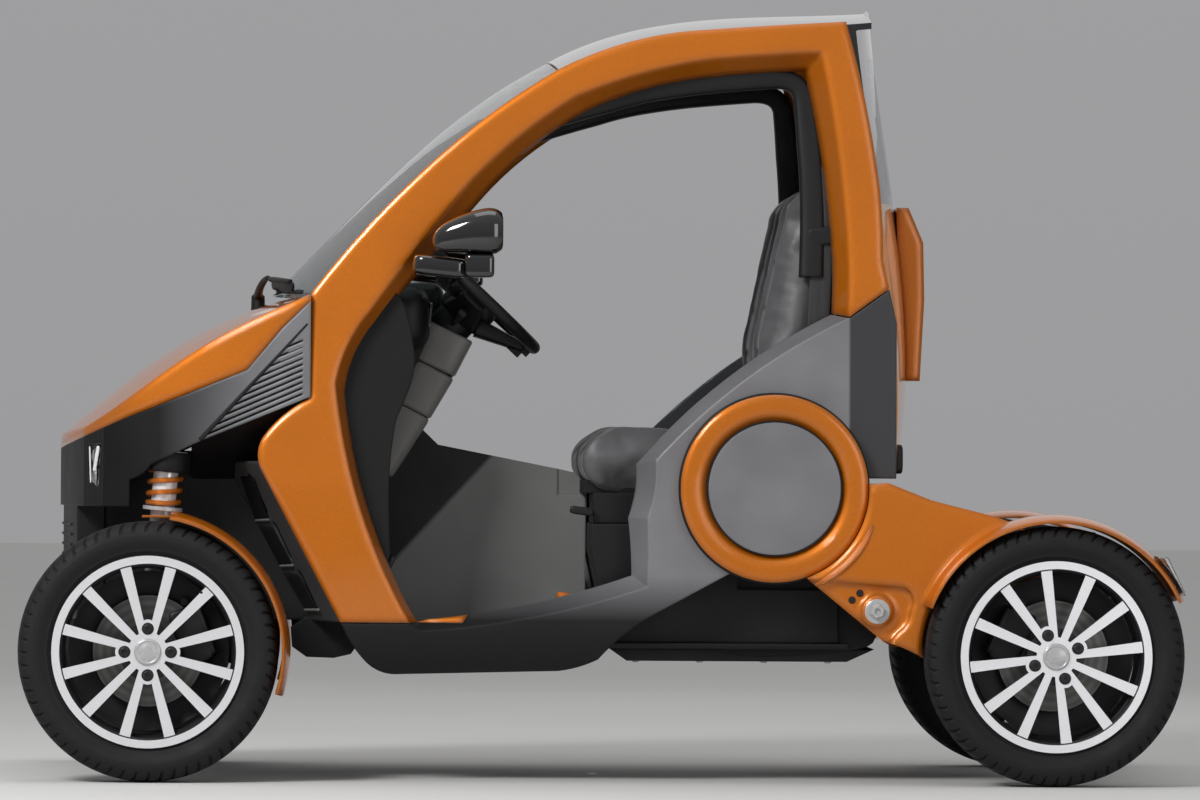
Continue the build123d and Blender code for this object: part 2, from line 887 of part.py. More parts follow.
tyre_rows = [
    (-bead_half, rim_seat_radius + seat_gap, 0),
    (bead_half, rim_seat_radius + seat_gap, 0),
    (bead_half, rim_flange_radius, 6),
    (tyre_half, tyre_radius - sidewall_bulge, 6),
    (tyre_half - 12, tyre_radius - 9, 3),
    (tyre_half - 26, tyre_radius, 0),
    (-tyre_half + 26, tyre_radius, 3),
    (-tyre_half + 12, tyre_radius - 9, 6),
    (-tyre_half, tyre_radius - sidewall_bulge, 6),
    (-bead_half, rim_flange_radius, 0),
]
barrel_in = rim_seat_radius - rim_barrel_wall
barrel_rows = [
    (-rim_half, barrel_in, 0),
    (rim_half - lip_depth, barrel_in, 0),
    (rim_half - lip_depth + lip_wall, lip_radius, 0),
    (rim_half - lip_wall, lip_radius, 0),
    (rim_half, lip_radius + lip_wall, 0),
    (rim_half, rim_flange_radius, 0),
    (rim_half - rim_flange_wall, rim_flange_radius, 0),
    (rim_half - rim_flange_wall, rim_seat_radius, 0),
    (-rim_half + rim_flange_wall, rim_seat_radius, 0),
    (-rim_half + rim_flange_wall, rim_flange_radius, 0),
    (-rim_half, rim_flange_radius, 0),
]
hub_out = 40.0
hub_in = -46.0
disc_rows = [
    (hub_in, spindle_radius + shaft_clearance, 0),
    (hub_out - seat_gap, spindle_radius + shaft_clearance, 0),
    (hub_out - seat_gap, hub_radius + 12, 0),
    (hub_out - 10, hub_radius + 12, 0),
    (hub_out - 10, hub_radius, 0),
    (hub_in + 18, hub_radius, 0),
    (hub_in + 18, disc_radius, 0),
    (hub_in + 18 - disc_wall, disc_radius, 0),
    (hub_in + 18 - disc_wall, hub_radius, 0),
    (hub_in, hub_radius, 0),
]


def rim(axle_x, side, turn):
    """Alloy rim: barrel with a stepped lip, hub pad, tapered flat spokes and lug bosses between them."""
    middle = (axle_x, side * (wheel_y + spoke_plate_out), tyre_radius)
    face = Plane(origin=middle, x_dir=(1, 0, 0), z_dir=(0, side, 0))
    spoke_end = lip_radius + 2
    with BuildPart() as wheel:
        add(wheel_part(axle_x, side, barrel_rows))
        with BuildSketch(face):
            Circle(rim_hub_radius)
            with PolarLocations(0, spoke_count, start_angle=turn + 180 / spoke_count):
                Polygon(
                    (0, -spoke_in_wall / 2),
                    (spoke_end, -spoke_out_wall / 2),
                    (spoke_end, spoke_out_wall / 2),
                    (0, spoke_in_wall / 2),
                    align=None,
                )
            with PolarLocations(lug_circle_radius, lug_count, start_angle=turn):
                Circle(lug_boss_radius)
        extrude(amount=-spoke_plate_wall)
        with BuildSketch(face.offset(hub_out - spoke_plate_out)):
            Circle(rim_pad_radius)
        extrude(amount=spoke_plate_out - spoke_plate_wall - hub_out + 2)
    return wheel.part


# Rows of (name, axle, side, turn of the spokes in degrees)
wheel_rows = [
    ("front_left", front_axle_x, 1, 0),
    ("front_right", front_axle_x, -1, 0),
    ("rear_left", rear_axle_x, 1, 22),
    ("rear_right", rear_axle_x, -1, 22),
]
for name, axle_x, side, turn in wheel_rows:
    save(wheel_part(axle_x, side, tyre_rows), f"tyre_{name}")
    save(wheel_part(axle_x, side, disc_rows), f"brake_disc_{name}")
    save(rim(axle_x, side, turn), f"rim_{name}")

# Rear arms with wheel covers
arm_out_y = wheel_y + 10.0
arm_in_y = arm_plate_y + arm_plate_wall
arm_boss_x = -595.0
arm_boss_z = 376.0
arm_boss_radius = 34.0
arm_boss_rise = 2.0
arm_recess = 14.0
recess_rows = [
    (-400, 448, 0),
    (-654, 429, 12),
    (-668, 380, 8),
    (-640, 330, 0),
    (-600, 280, 0),
    (-400, 400, 0),
]
arm_rows = [
    (-445, 445, 0),
    (-300, 640, 0),
    (-583, 651, 0),
    (-617, 654, 0),
    (-711, 617, 0),
    (-855, 581, 0),
    (-960, 540, 0),
    (-960, 300, 0),
    (-700, 273, 0),
    (-609, 311, -4),
]
trail_rows = [
    (pivot_x, pivot_z - pivot_lobe_radius, 0),
    (rear_axle_x, tyre_radius - 70, 70),
    (rear_axle_x, tyre_radius + 70, 0),
    (rear_axle_x + 330, pivot_z - 20, 0),
    (pivot_x, pivot_z - 20, 0),
]
fender_start = 21.0
fender_end = 156.0
with BuildPart() as rear_arm_left:
    with BuildSketch(side_plane(arm_out_y)):
        with BuildLine():
            trace([(x, z, -bow) for x, z, bow in reversed(arm_rows)])
        make_face()
    extrude(amount=arm_out_y - arm_in_y + 2)
    with BuildSketch(side_plane(arm_out_y)):
        with BuildLine():
            trace(recess_rows)
        make_face()
    extrude(amount=arm_recess, mode=Mode.SUBTRACT)
    with BuildSketch(side_plane(arm_out_y + arm_boss_rise)):
        with Locations((arm_boss_x, arm_boss_z)):
            Circle(arm_boss_radius)
    extrude(amount=arm_out_y + arm_boss_rise - arm_in_y)
    with BuildSketch(side_plane(arm_out_y + 10)):
        with Locations((rear_axle_x, tyre_radius)):
            Circle(fender_low)
        with Locations((pivot_x, pivot_z)):
            Circle(pivot_ring_radius + 2)
    extrude(amount=arm_out_y + 10 - arm_in_y, mode=Mode.SUBTRACT)
    add(fender_section(rear_axle_x).rotate(wheel_axis(rear_axle_x), 90 - fender_start))
    revolve(axis=wheel_axis(rear_axle_x), revolution_arc=-(fender_end - fender_start))
    with BuildSketch(side_plane(arm_in_y)):
        with BuildLine():
            trace([(x, z, -bow) for x, z, bow in reversed(trail_rows)])
        make_face()
        with Locations((pivot_x, pivot_z)):
            Circle(pivot_lobe_radius)
    extrude(amount=arm_plate_wall)
    with BuildSketch(side_plane(arm_plate_y)):
        with Locations((rear_axle_x, tyre_radius)):
            Circle(spindle_radius)
    extrude(amount=-(wheel_y + 38 - arm_plate_y))
    with BuildSketch(side_plane(arm_plate_y + 60)):
        with Locations((pivot_x, pivot_z)):
            Circle(pivot_tube_radius + shaft_clearance)
    extrude(amount=120, mode=Mode.SUBTRACT)
save(rear_arm_left.part, "rear_arm_left")
save(mirrored(rear_arm_left.part, "rear_arm_right"), "rear_arm_right")

stub_in_y = arm_plate_y - seat_side_gap + 2
stub_out_y = skin_y(pivot_z + pivot_tube_radius) - skin_wall - seat_gap
with BuildPart() as pivot_stub_left:
    with BuildSketch(side_plane(stub_out_y)):
        with Locations((pivot_x, pivot_z)):
            Circle(pivot_tube_radius)
    extrude(amount=stub_out_y - stub_in_y)
save(pair(pivot_stub_left.part, "pivot_stubs"), "pivot_stubs")

ring_face_y = waist_half_width + pivot_ring_out
with BuildPart() as pivot_ring_left:
    with BuildSketch(side_plane(ring_face_y)):
        with Locations((pivot_x, pivot_z)):
            Circle(pivot_ring_radius)
            Circle(pivot_cover_radius, mode=Mode.SUBTRACT)
    extrude(amount=pivot_ring_out - seat_gap)
    chamfer(pivot_ring_left.edges().filter_by(GeomType.CIRCLE).sort_by(Axis.Y)[-1], 17)
save(pair(pivot_ring_left.part, "pivot_rings"), "pivot_rings")

with BuildPart() as pivot_cover_left:
    with BuildSketch(side_plane(ring_face_y - 4)):
        with Locations((pivot_x, pivot_z)):
            Circle(pivot_cover_radius - seat_gap)
    extrude(amount=pivot_ring_out - 4 - seat_gap)
save(pair(pivot_cover_left.part, "pivot_covers"), "pivot_covers")

deck_half_width = arm_plate_y - seat_gap
with BuildPart() as rear_deck:
    with BuildSketch(side_plane(deck_half_width)):
        with BuildLine():
            trace(
                [
                    (-600, 630, 0),
                    (-600, 650, 0),
                    (-711, 617, 0),
                    (-855, 581, 0),
                    (-1080, 548, 0),
                    (-1080, 530, 0),
                    (-855, 562, 0),
                    (-711, 598, 0),
                ]
            )
        make_face()
    extrude(amount=2 * deck_half_width)
save(rear_deck.part, "rear_deck")

axle_tube_radius = 42.0
with BuildPart() as rear_axle:
    with BuildSketch(side_plane(deck_half_width)):
        with Locations((rear_axle_x, tyre_radius)):
            Circle(axle_tube_radius)
    extrude(amount=2 * deck_half_width)
save(rear_axle.part, "rear_axle")

drive_half_width = 190.0
# Outline of the drive unit about the rear axle
drive_rows = [(-121, -81), (109, -81), (159, 19), (159, 199), (-101, 199), (-151, 119)]
with BuildPart() as drive_unit:
    with BuildSketch(side_plane(drive_half_width)):
        with BuildLine():
            trace([(rear_axle_x + x, tyre_radius + z, 0) for x, z in drive_rows])
        make_face()
        with Locations((rear_axle_x, tyre_radius)):
            Circle(axle_tube_radius + seat_gap, mode=Mode.SUBTRACT)
    extrude(amount=2 * drive_half_width)
save(drive_unit.part, "drive_unit")

# Lamp pods on the covers' ends: rows of (reach past the cover, degrees above the axle)
lamp_pod_rows = [(4, 25.5), (-42, 27), (-54, 33.4), (-3, 46), (17, 42)]
lamp_pod_width = 110.0
lamp_pod_out = 70.0


def behind_axle(reach, angle):
    """Point behind the rear axle, a reach past the wheel cover."""
    radius = fender_out + reach
    return rear_axle_x - radius * cos(radians(angle)), tyre_radius + radius * sin(radians(angle)), 0


with BuildPart() as rear_lamp_left:
    with BuildSketch(side_plane(wheel_y + lamp_pod_out)):
        with BuildLine():
            trace([behind_axle(reach, angle) for reach, angle in lamp_pod_rows])
        make_face()
    extrude(amount=lamp_pod_width)
    with BuildSketch(side_plane(wheel_y + lamp_pod_out)):
        with Locations((rear_axle_x, tyre_radius)):
            Circle(fender_out + seat_gap)
    extrude(amount=lamp_pod_width, mode=Mode.SUBTRACT)
save(pair(rear_lamp_left.part, "rear_lamps"), "rear_lamps")


def between_sides(rows, clear, low_x=-800, high_x=1000):
    """Piece of the cabin drawn in side view and fitted between the two side skins."""
    with BuildPart() as piece:
        with BuildSketch(side_plane(outside_y)):
            with BuildLine():
                trace(rows)
            make_face()
        extrude(amount=2 * outside_y)
        with BuildSketch(Plane.YZ.offset(low_x)):
            with BuildLine():
                trace(inside_rows(clear))
            make_face()
        extrude(amount=high_x - low_x, mode=Mode.INTERSECT)
    return piece.part


floor_top = floor_z + floor_wall
tub_rows = [
    (-540, floor_z, 0),
    (530, floor_z, 0),
    (725, 665, 0),
    (718, 745, 0),
    (618, 832, 0),
    (622, 1000, 0),
    (608, 1000, 0),
    (604, 826, 0),
    (704, 738, 0),
    (710, 668, 0),
    (521, floor_top, 0),
    (-540, floor_top, 0),
]
save(between_sides(tub_rows, seat_gap), "floor_tub")

dash_rows = [
    (600, 1000 + seat_gap, 0),
    (625, 1000 + seat_gap, 0),
    (625, 1048, 0),
    (560, 1062, 0),
    (470, 1060, 6),
    (430, 1010, 0),
    (450, 940, 0),
    (603 - seat_gap, 900, 0),
]
save(between_sides(dash_rows, seat_gap), "dashboard")

battery_top_z = 560.0
battery_half_width = arm_plate_y - 12.0
battery_rows = [
    (-520, floor_top + seat_gap, 0),
    (-20, floor_top + seat_gap, 0),
    (20, battery_top_z - 60, 0),
    (20, battery_top_z, 0),
    (-300, battery_top_z, 0),
    (-300, 420, 0),
    (-520, 420, 0),
]
with BuildPart() as battery_box:
    with BuildSketch(side_plane(battery_half_width)):
        with BuildLine():
            trace(battery_rows)
        make_face()
    extrude(amount=2 * battery_half_width)
save(battery_box.part, "battery_box")

belly_half_width = arm_plate_y - 32.0
belly_rows = [(-540, 262, 0), (-60, 262, 0), (-20, floor_z - seat_gap, 0), (-600, floor_z - seat_gap, 0)]
with BuildPart() as belly_pan:
    with BuildSketch(side_plane(belly_half_width)):
        with BuildLine():
            trace(belly_rows)
        make_face()
    extrude(amount=2 * belly_half_width)
save(belly_pan.part, "belly_pan")

tunnel_half_width = 120.0
tunnel_rows = [
    (22, floor_top + seat_gap, 0),
    (500, floor_top + seat_gap, 0),
    (500, 690, 0),
    (386, 765, 0),
    (350, 730, 0),
    (84, 678, 0),
    (84, 620, 0),
    (22, 620, 0),
]
with BuildPart() as centre_tunnel:
    with BuildSketch(side_plane(tunnel_half_width)):
        with BuildLine():
            trace(tunnel_rows)
        make_face()
    extrude(amount=2 * tunnel_half_width)
save(centre_tunnel.part, "centre_tunnel")

seat_base_z = battery_top_z + seat_gap
cushion_low_z = 628.0
seat_base_rows = [
    (-410, seat_base_z, 0),
    (15, seat_base_z, 0),
    (15, cushion_low_z, 0),
    (-410, cushion_low_z, 0),
]
cushion_back_x = -420.0
back_front_x = cushion_back_x - seat_gap
cushion_rows = [
    (cushion_back_x, 640, 0),
    (cushion_back_x + 11, cushion_low_z + seat_gap, 0),
    (20, cushion_low_z + seat_gap, 14),
    (60, 690, 14),
    (20, 765, 6),
    (cushion_back_x, 742, 0),
]
back_rows = [
    (-490, 650, 0),
    (back_front_x, 650, 0),
    (back_front_x, 748, 0),
    (-344, 921, 4),
    (-427, 1240, 8),
    (-455, 1320, 14),
    (-500, 1300, 4),
]


def seat_piece(rows, inset):
    """One seat piece for the left place."""
    with BuildPart() as piece:
        with BuildSketch(side_plane(seat_y + seat_width / 2 - inset)):
            with BuildLine():
                trace(rows)
            make_face()
        extrude(amount=seat_width - 2 * inset)
    return piece.part


save(pair(seat_piece(seat_base_rows, 30), "seat_bases"), "seat_bases")
save(pair(seat_piece(cushion_rows, 0), "seat_cushions"), "seat_cushions")
save(pair(seat_piece(back_rows, 0), "seat_backs"), "seat_backs")

# Steering wheel and column at the left place
steer_wheel_x = 264.0
steer_wheel_z = 1058.0
steer_wheel_radius = 180.0
steer_rim_radius = 14.0
column_angle = 43.0
hub_depth = 45.0
steer_shaft_radius = 12.0
steer_shaft_length = 60.0
column_axis = Vector(-sin(radians(column_angle)), 0, cos(radians(column_angle)))


def column_plane(depth):
    """Plane across the steering column, a depth below the steering wheel's middle."""
    origin = Vector(steer_wheel_x, seat_y, steer_wheel_z) - column_axis * depth
    return Plane(origin=origin, x_dir=(0, 1, 0), z_dir=column_axis)


with BuildPart() as steering_wheel:
    with Locations(column_plane(0)):
        Torus(steer_wheel_radius - steer_rim_radius, steer_rim_radius)
    with BuildSketch(column_plane(hub_depth)):
        Circle(52)
    extrude(amount=30)
    with BuildSketch(column_plane(hub_depth - 4)):
        with PolarLocations(0, 3, start_angle=90):
            with Locations((80, 0)):
                Rectangle(150, 34)
    extrude(amount=14)
    with BuildSketch(column_plane(hub_depth - 18)):
        with PolarLocations(0, 3, start_angle=90):
            with Locations((steer_wheel_radius - steer_rim_radius - 8, 0)):
                Rectangle(20, 34)
    extrude(amount=22)
    with BuildSketch(column_plane(hub_depth)):
        Circle(steer_shaft_radius)
    extrude(amount=-steer_shaft_length)
save(steering_wheel.part, "steering_wheel")

column_length = 190.0
column_radius = 46.0
shroud_half_width = 62.0
shroud_rows = [
    (322, 925, 0),
    (358, 962, 0),
    (430, 1000, 0),
    (520, 975, 0),
    (520, 905, 0),
    (560, 640, 0),
    (470, 672, 8),
]
with BuildPart() as steering_column:
    with BuildSketch(column_plane(hub_depth + 6)):
        Circle(column_radius)
    extrude(amount=-column_length)
    with BuildSketch(side_plane(seat_y + shroud_half_width)):
        with BuildLine():
            trace(shroud_rows)
        make_face()
    extrude(amount=2 * shroud_half_width)
    add(between_sides(dash_rows, -20), mode=Mode.SUBTRACT)
    with BuildSketch(column_plane(hub_depth)):
        Circle(steer_shaft_radius + shaft_clearance)
    extrude(amount=-steer_shaft_length - 12, mode=Mode.SUBTRACT)
save(steering_column.part.solids().sort_by(SortBy.VOLUME)[-1], "steering_column")

# Door mirrors on the front pillars
mirror_out_y = waist_half_width + 130.0
mirror_foot_y = waist_half_width + 80.0
mirror_depth = 115.0
with BuildPart() as door_mirror_left:
    with BuildSketch(side_plane(mirror_out_y)):
        with BuildLine():
            trace([(222, 1150, 0), (371, 1150, 6), (350, 1205, 10), (290, 1238, 0), (228, 1240, 6)])
        make_face()
    extrude(amount=mirror_depth)
    with BuildSketch(side_plane(mirror_foot_y)):
        with BuildLine():
            trace([(238, 1096, 0), (430, 1096, 0), (470, 1145, 0), (300, 1151, 0), (238, 1151, 0)])
        make_face()
    extrude(amount=mirror_foot_y + skin_wall - waist_half_width)
    add(side_frame_left.part, mode=Mode.SUBTRACT)
    with BuildSketch(Plane.YZ.offset(100)):
        with BuildLine():
            trace(inside_rows(-skin_wall - seat_gap))
        make_face()
    extrude(amount=500, mode=Mode.SUBTRACT)
save(pair(door_mirror_left.part, "door_mirrors"), "door_mirrors")
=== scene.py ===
import json
import math

import bmesh
import bpy
import numpy as np
from bpy.props import FloatProperty, FloatVectorProperty, IntProperty, PointerProperty
from mathutils import Matrix, Vector


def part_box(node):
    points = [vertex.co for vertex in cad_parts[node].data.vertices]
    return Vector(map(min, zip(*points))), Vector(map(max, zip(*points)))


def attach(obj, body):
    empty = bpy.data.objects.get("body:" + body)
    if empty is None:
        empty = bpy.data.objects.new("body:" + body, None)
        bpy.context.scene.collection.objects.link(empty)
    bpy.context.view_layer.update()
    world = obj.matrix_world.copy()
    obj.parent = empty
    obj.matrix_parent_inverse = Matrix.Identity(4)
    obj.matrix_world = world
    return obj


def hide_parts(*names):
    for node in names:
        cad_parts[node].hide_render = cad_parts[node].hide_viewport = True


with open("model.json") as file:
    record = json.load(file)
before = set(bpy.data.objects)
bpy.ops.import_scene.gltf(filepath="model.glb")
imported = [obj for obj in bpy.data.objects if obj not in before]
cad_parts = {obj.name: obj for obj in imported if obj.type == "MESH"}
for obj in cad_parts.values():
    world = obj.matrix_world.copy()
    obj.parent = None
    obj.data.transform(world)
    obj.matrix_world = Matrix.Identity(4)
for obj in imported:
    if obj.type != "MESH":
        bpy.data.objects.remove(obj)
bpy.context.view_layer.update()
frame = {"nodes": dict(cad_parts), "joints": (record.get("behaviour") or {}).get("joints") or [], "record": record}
nodes = frame["nodes"]

bl_info = {
    "name": "Open micro car looks",
    "version": (1, 0, 0),
    "blender": (4, 5, 0),
    "location": "View3D > Sidebar > Micro car",
    "description": "Dresses the packed micro car: tyres, springs, seats, trim, paint and stage",
    "category": "Object",
}

SIDES = {"left": 1, "right": -1}
WHEELS = ("front_left", "front_right", "rear_left", "rear_right")
# Degrees that the lugs stand turned from level, as the rims do
LUG_TURN = {"front": 0, "rear": 22}
# Width of one seat, and from its middle to the seam beside a bolster
SEAT_WIDTH = 0.42
BOLSTER_SEAM = 0.122
TYRE_RADIUS_MM = 281
# Degrees that the steering column and the struts lean
COLUMN_LEAN = 43
STRUT_LEAN = 5.0
# From where to where the left rear lamp's inside runs, along Y
REAR_LAMP = (0.556, 0.656)


def linear(code, alpha=1.0):
    """A colour written as sRGB hex, in linear light."""
    srgb = np.array([int(code[i:i + 2], 16) for i in (1, 3, 5)]) / 255
    rgb = np.where(srgb <= 0.04045, srgb / 12.92, ((srgb + 0.055) / 1.055) ** 2.4)
    return (*rgb.tolist(), alpha)


def paint_colour(name, code, words):
    """A colour that a user may change."""
    return FloatVectorProperty(
        name=name, description=words, default=linear(code), size=4, subtype="COLOR", min=0, max=1
    )


def length(name, value, words):
    """A length in metres that a user may change."""
    return FloatProperty(name=name, description=words, default=value, min=0, unit="LENGTH")


class CarColours(bpy.types.PropertyGroup):
    orange: paint_colour("Body paint", "#BC6602", "Metallic paint of rings, bonnet, arms and covers")
    grey: paint_colour("Grey mouldings", "#77777A", "Grained sill, quarter and hub covers")
    black: paint_colour("Black mouldings", "#0F0F11", "Grained black inner and lower pieces")
    gloss: paint_colour("Gloss black", "#0C0C0E", "Mirrors, roof and window frame")
    silver: paint_colour("Machined alloy", "#ECEBEE", "Faces of the wheels")
    rubber: paint_colour("Tyre rubber", "#131314", "Tyres")
    leather: paint_colour("Seat leather", "#474749", "Seat covers")
    glass: paint_colour("Glass tint", "#B9C6C8", "Windscreen and rear window")


class CarSizes(bpy.types.PropertyGroup):
    tread_depth: length("Tread depth", 0.0065, "Depth of the tyre's grooves")
    tread_pitches: IntProperty(
        name="Tread pitches", description="Blocks around the tyre", default=60, min=24, max=96
    )
    spring_wire: length("Spring wire", 0.0115, "Thickness of the coil springs")
    spring_turns: FloatProperty(
        name="Spring turns", description="Turns of each coil", default=4.5, min=2, max=9
    )
    seat_swell: length("Seat swell", 0.024, "Most that a seat cover swells")
    belt_width: length("Belt width", 0.047, "Width of the belt webbing")
    lug_circle: length("Lug circle", 0.100, "Pitch circle of the wheel lugs")


def sizes():
    """The sizes that the panel shows."""
    return bpy.context.scene.car_sizes


def colours():
    """The colours that the panel shows."""
    return bpy.context.scene.car_colours


# Meshes from arrays


def grid_faces(rows, cols, wrap_rows=False, wrap_cols=False):
    """Quads between neighbours on a grid of rows and columns, closed round where asked."""
    r = np.arange(rows if wrap_rows else rows - 1)
    c = np.arange(cols if wrap_cols else cols - 1)
    r, c = (a.ravel() for a in np.meshgrid(r, c, indexing="ij"))
    r_next, c_next = (r + 1) % rows, (c + 1) % cols
    return np.stack([r * cols + c, r * cols + c_next, r_next * cols + c_next, r_next * cols + c], 1)


def joined(shapes):
    """One pair of points and faces from several."""
    points, faces, start = [], [], 0
    for p, f in shapes:
        points.append(p)
        faces.append(f + start)
        start += len(p)
    return np.concatenate(points), np.concatenate(faces)


def tidied(mesh):
    """Merges doubled points and turns the faces outwards."""
    work = bmesh.new()
    work.from_mesh(mesh)
    bmesh.ops.remove_doubles(work, verts=work.verts, dist=2e-6)
    bmesh.ops.dissolve_degenerate(work, edges=work.edges, dist=1e-7)
    bmesh.ops.recalc_face_normals(work, faces=work.faces)
    work.to_mesh(mesh)
    work.free()


def piece(name, shape, body="cabin", slot="black_plastic", look=None, sharp=35.0):
    """An object from points and faces in the car's frame, on a body, in its slot's finish or another."""
    mesh = bpy.data.meshes.new(name)
    points, faces = shape
    mesh.from_pydata(points, [], faces)
    tidied(mesh)
    mesh.shade_smooth()
    mesh.set_sharp_from_angle(angle=math.radians(sharp))
    made = bpy.data.objects.new(name, mesh)
    bpy.context.scene.collection.objects.link(made)
    mesh.materials.append(FINISHES[look or slot])
    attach(made, body)
    return made


def lathe(profile, centre, axis, segments, closed=True):
    """Revolves rows of (distance along axis, radius) about an axis through centre."""
    axis = np.array(axis, float) / np.linalg.norm(axis)
    # Any direction well off the axis
    side = np.cross(axis, [0.31, 0.2, 0.93] if abs(axis[2]) < 0.9 else [1.0, 0, 0])
    side /= np.linalg.norm(side)
    other = np.cross(axis, side)
    turn = np.linspace(0, 2 * np.pi, segments, endpoint=False)[:, None, None]
    along, radius = np.array(profile, float).T[:, None, :, None]
    points = np.array(centre) + along * axis + radius * (np.cos(turn) * side + np.sin(turn) * other)
    return points.reshape(-1, 3), grid_faces(segments, len(profile), True, closed)


def tube(path, half_sizes, up, sides=12, ends=True, power=1.0):
    """Carries a round or flattened section along a path: side = tangent x up, scaled by half_sizes."""
    path = np.array(path, float)
    tangent = np.gradient(path, axis=0)
    tangent /= np.linalg.norm(tangent, axis=1, keepdims=True)
    side = np.cross(tangent, np.broadcast_to(np.array(up, float), path.shape))
    side /= np.linalg.norm(side, axis=1, keepdims=True)
    over = np.cross(side, tangent)
    half = np.broadcast_to(np.array(half_sizes, float), (len(path), 2))
    if ends:
        path = np.concatenate([path[:1], path, path[-1:]])
        side, over = (np.concatenate([a[:1], a, a[-1:]]) for a in (side, over))
        half = np.concatenate([half[:1] * 1e-4, half, half[-1:] * 1e-4])
    turn = np.linspace(0, 2 * np.pi, sides, endpoint=False)
    c, s = (np.sign(w) * np.abs(w) ** power for w in (np.cos(turn), np.sin(turn)))
    points = path[:, None] + (half[:, :1, None] * c[None, :, None] * side[:, None]
                              + half[:, 1:, None] * s[None, :, None] * over[:, None])
    return points.reshape(-1, 3), grid_faces(len(path), sides, False, True)


def pillow(centre, half, corner=0.35, turn=None, around=36, up=18):
    """Superellipsoid: cosines and sines raised to a corner power, 1 for an ellipsoid, near 0 for a box."""
    u = np.linspace(-np.pi, np.pi, around, endpoint=False)
    v = np.linspace(-np.pi / 2, np.pi / 2, up)
    v, u = np.meshgrid(v, u, indexing="ij")

    def raised(w):
        return np.sign(w) * np.abs(w) ** corner

    points = np.stack([raised(np.cos(v)) * raised(np.cos(u)), raised(np.cos(v)) * raised(np.sin(u)),
                       raised(np.sin(v))], -1).reshape(-1, 3) * half
    if turn is not None:
        points = points @ np.array(turn).T
    return points + np.array(centre), grid_faces(up, around, False, True)


def turned(angle, axis):
    """Rotation by degrees about X, Y or Z."""
    return np.array(Matrix.Rotation(math.radians(angle), 3, axis))


def rounded(points, times=3, closed=False):
    """Cuts a line's corners: each run gets points at a quarter and at three quarters of it."""
    line = np.array(points, float)
    for _ in range(times):
        start, end = (line, np.roll(line, -1, 0)) if closed else (line[:-1], line[1:])
        cut = np.stack([0.75 * start + 0.25 * end, 0.25 * start + 0.75 * end], 1).reshape(-1, line.shape[1])
        line = cut if closed else np.concatenate([line[:1], cut, line[-1:]])
    return line


def slab(outline, low, high):
    """A level-sided block: rows of (x, z) carried from one y to another, closed towards their middle."""
    line = np.array(outline, float)
    middle = line.mean(0)
    core = middle + (line - middle) * 1e-3
    rings = [np.stack([r[:, 0], np.full(len(r), y), r[:, 1]], 1)
             for r, y in ((core, low), (line, low), (line, high), (core, high))]
    return np.concatenate(rings), grid_faces(4, len(line), False, True)


def sheet(start, end, thickness):
    """A ruled sheet: straight runs between two lines of points, given a thickness along Z."""
    t = np.linspace(0, 1, 16)[None, :, None]
    start, end = (np.array(line, float)[:, None] for line in (start, end))
    top = start + (end - start) * t
    loop = np.concatenate([top, (top - [0, 0, thickness])[:, ::-1]], 1)
    first, last = (np.broadcast_to(loop[i].mean(0), loop[i].shape)[None] for i in (0, -1))
    loop = np.concatenate([first, loop, last])
    return loop.reshape(-1, 3), grid_faces(len(loop), loop.shape[1], False, True)


def ovals(rows, sides=40, power=0.7):
    """Shell along X: rows of (x, y, z, half y, half z), each an oval of cosine and sine to a power."""
    rows = np.array(rows, float)
    rows = np.concatenate([rows[:1], rows, rows[-1:]])
    rows[[0, -1], 3:] *= 1e-3
    turn = np.linspace(0, 2 * np.pi, sides, endpoint=False)
    c, s = (np.sign(w) * np.abs(w) ** power for w in (np.cos(turn), np.sin(turn)))
    x, y, z, half_y, half_z = (rows[:, i:i + 1] for i in range(5))
    points = np.stack([x + 0 * c, y + half_y * c, z + half_z * s], -1)
    return points.reshape(-1, 3), grid_faces(len(rows), sides, False, True)


# Materials


def connect(tree, node, links):
    """Sets a node's sockets: a value stays on its socket, an output is linked to it."""
    for socket, value in links.items():
        if isinstance(value, bpy.types.NodeSocket):
            tree.links.new(value, node.inputs[socket])
        else:
            node.inputs[socket].default_value = value


def add(tree, kind, links=None, **settings):
    """Adds a shader node of a kind: settings are its properties, links its sockets' values or sources."""
    made = tree.nodes.new("ShaderNode" + kind)
    for key, value in settings.items():
        setattr(made, key, value)
    connect(tree, made, links or {})
    return made


def finish(name, base, roughness, metallic=0.0, **sockets):
    """A new material with its tree, shader and object coordinates."""
    made = bpy.data.materials.new(name)
    made.use_nodes = True
    tree = made.node_tree
    shader = tree.nodes["Principled BSDF"]
    connect(tree, shader, {"Base Color": base, "Roughness": roughness, "Metallic": metallic})
    connect(tree, shader, {socket.replace("_", " "): value for socket, value in sockets.items()})
    place = add(tree, "TexCoord").outputs["Object"]
    made.diffuse_color = base
    return made, tree, shader, place


def per_metre(size_mm):
    """Texture scale at which one cell is a size in millimetres."""
    return 1000.0 / size_mm


def scaled(colour, factor):
    """A colour made darker or lighter."""
    return (*[min(1.0, c * factor) for c in colour[:3]], 1.0)


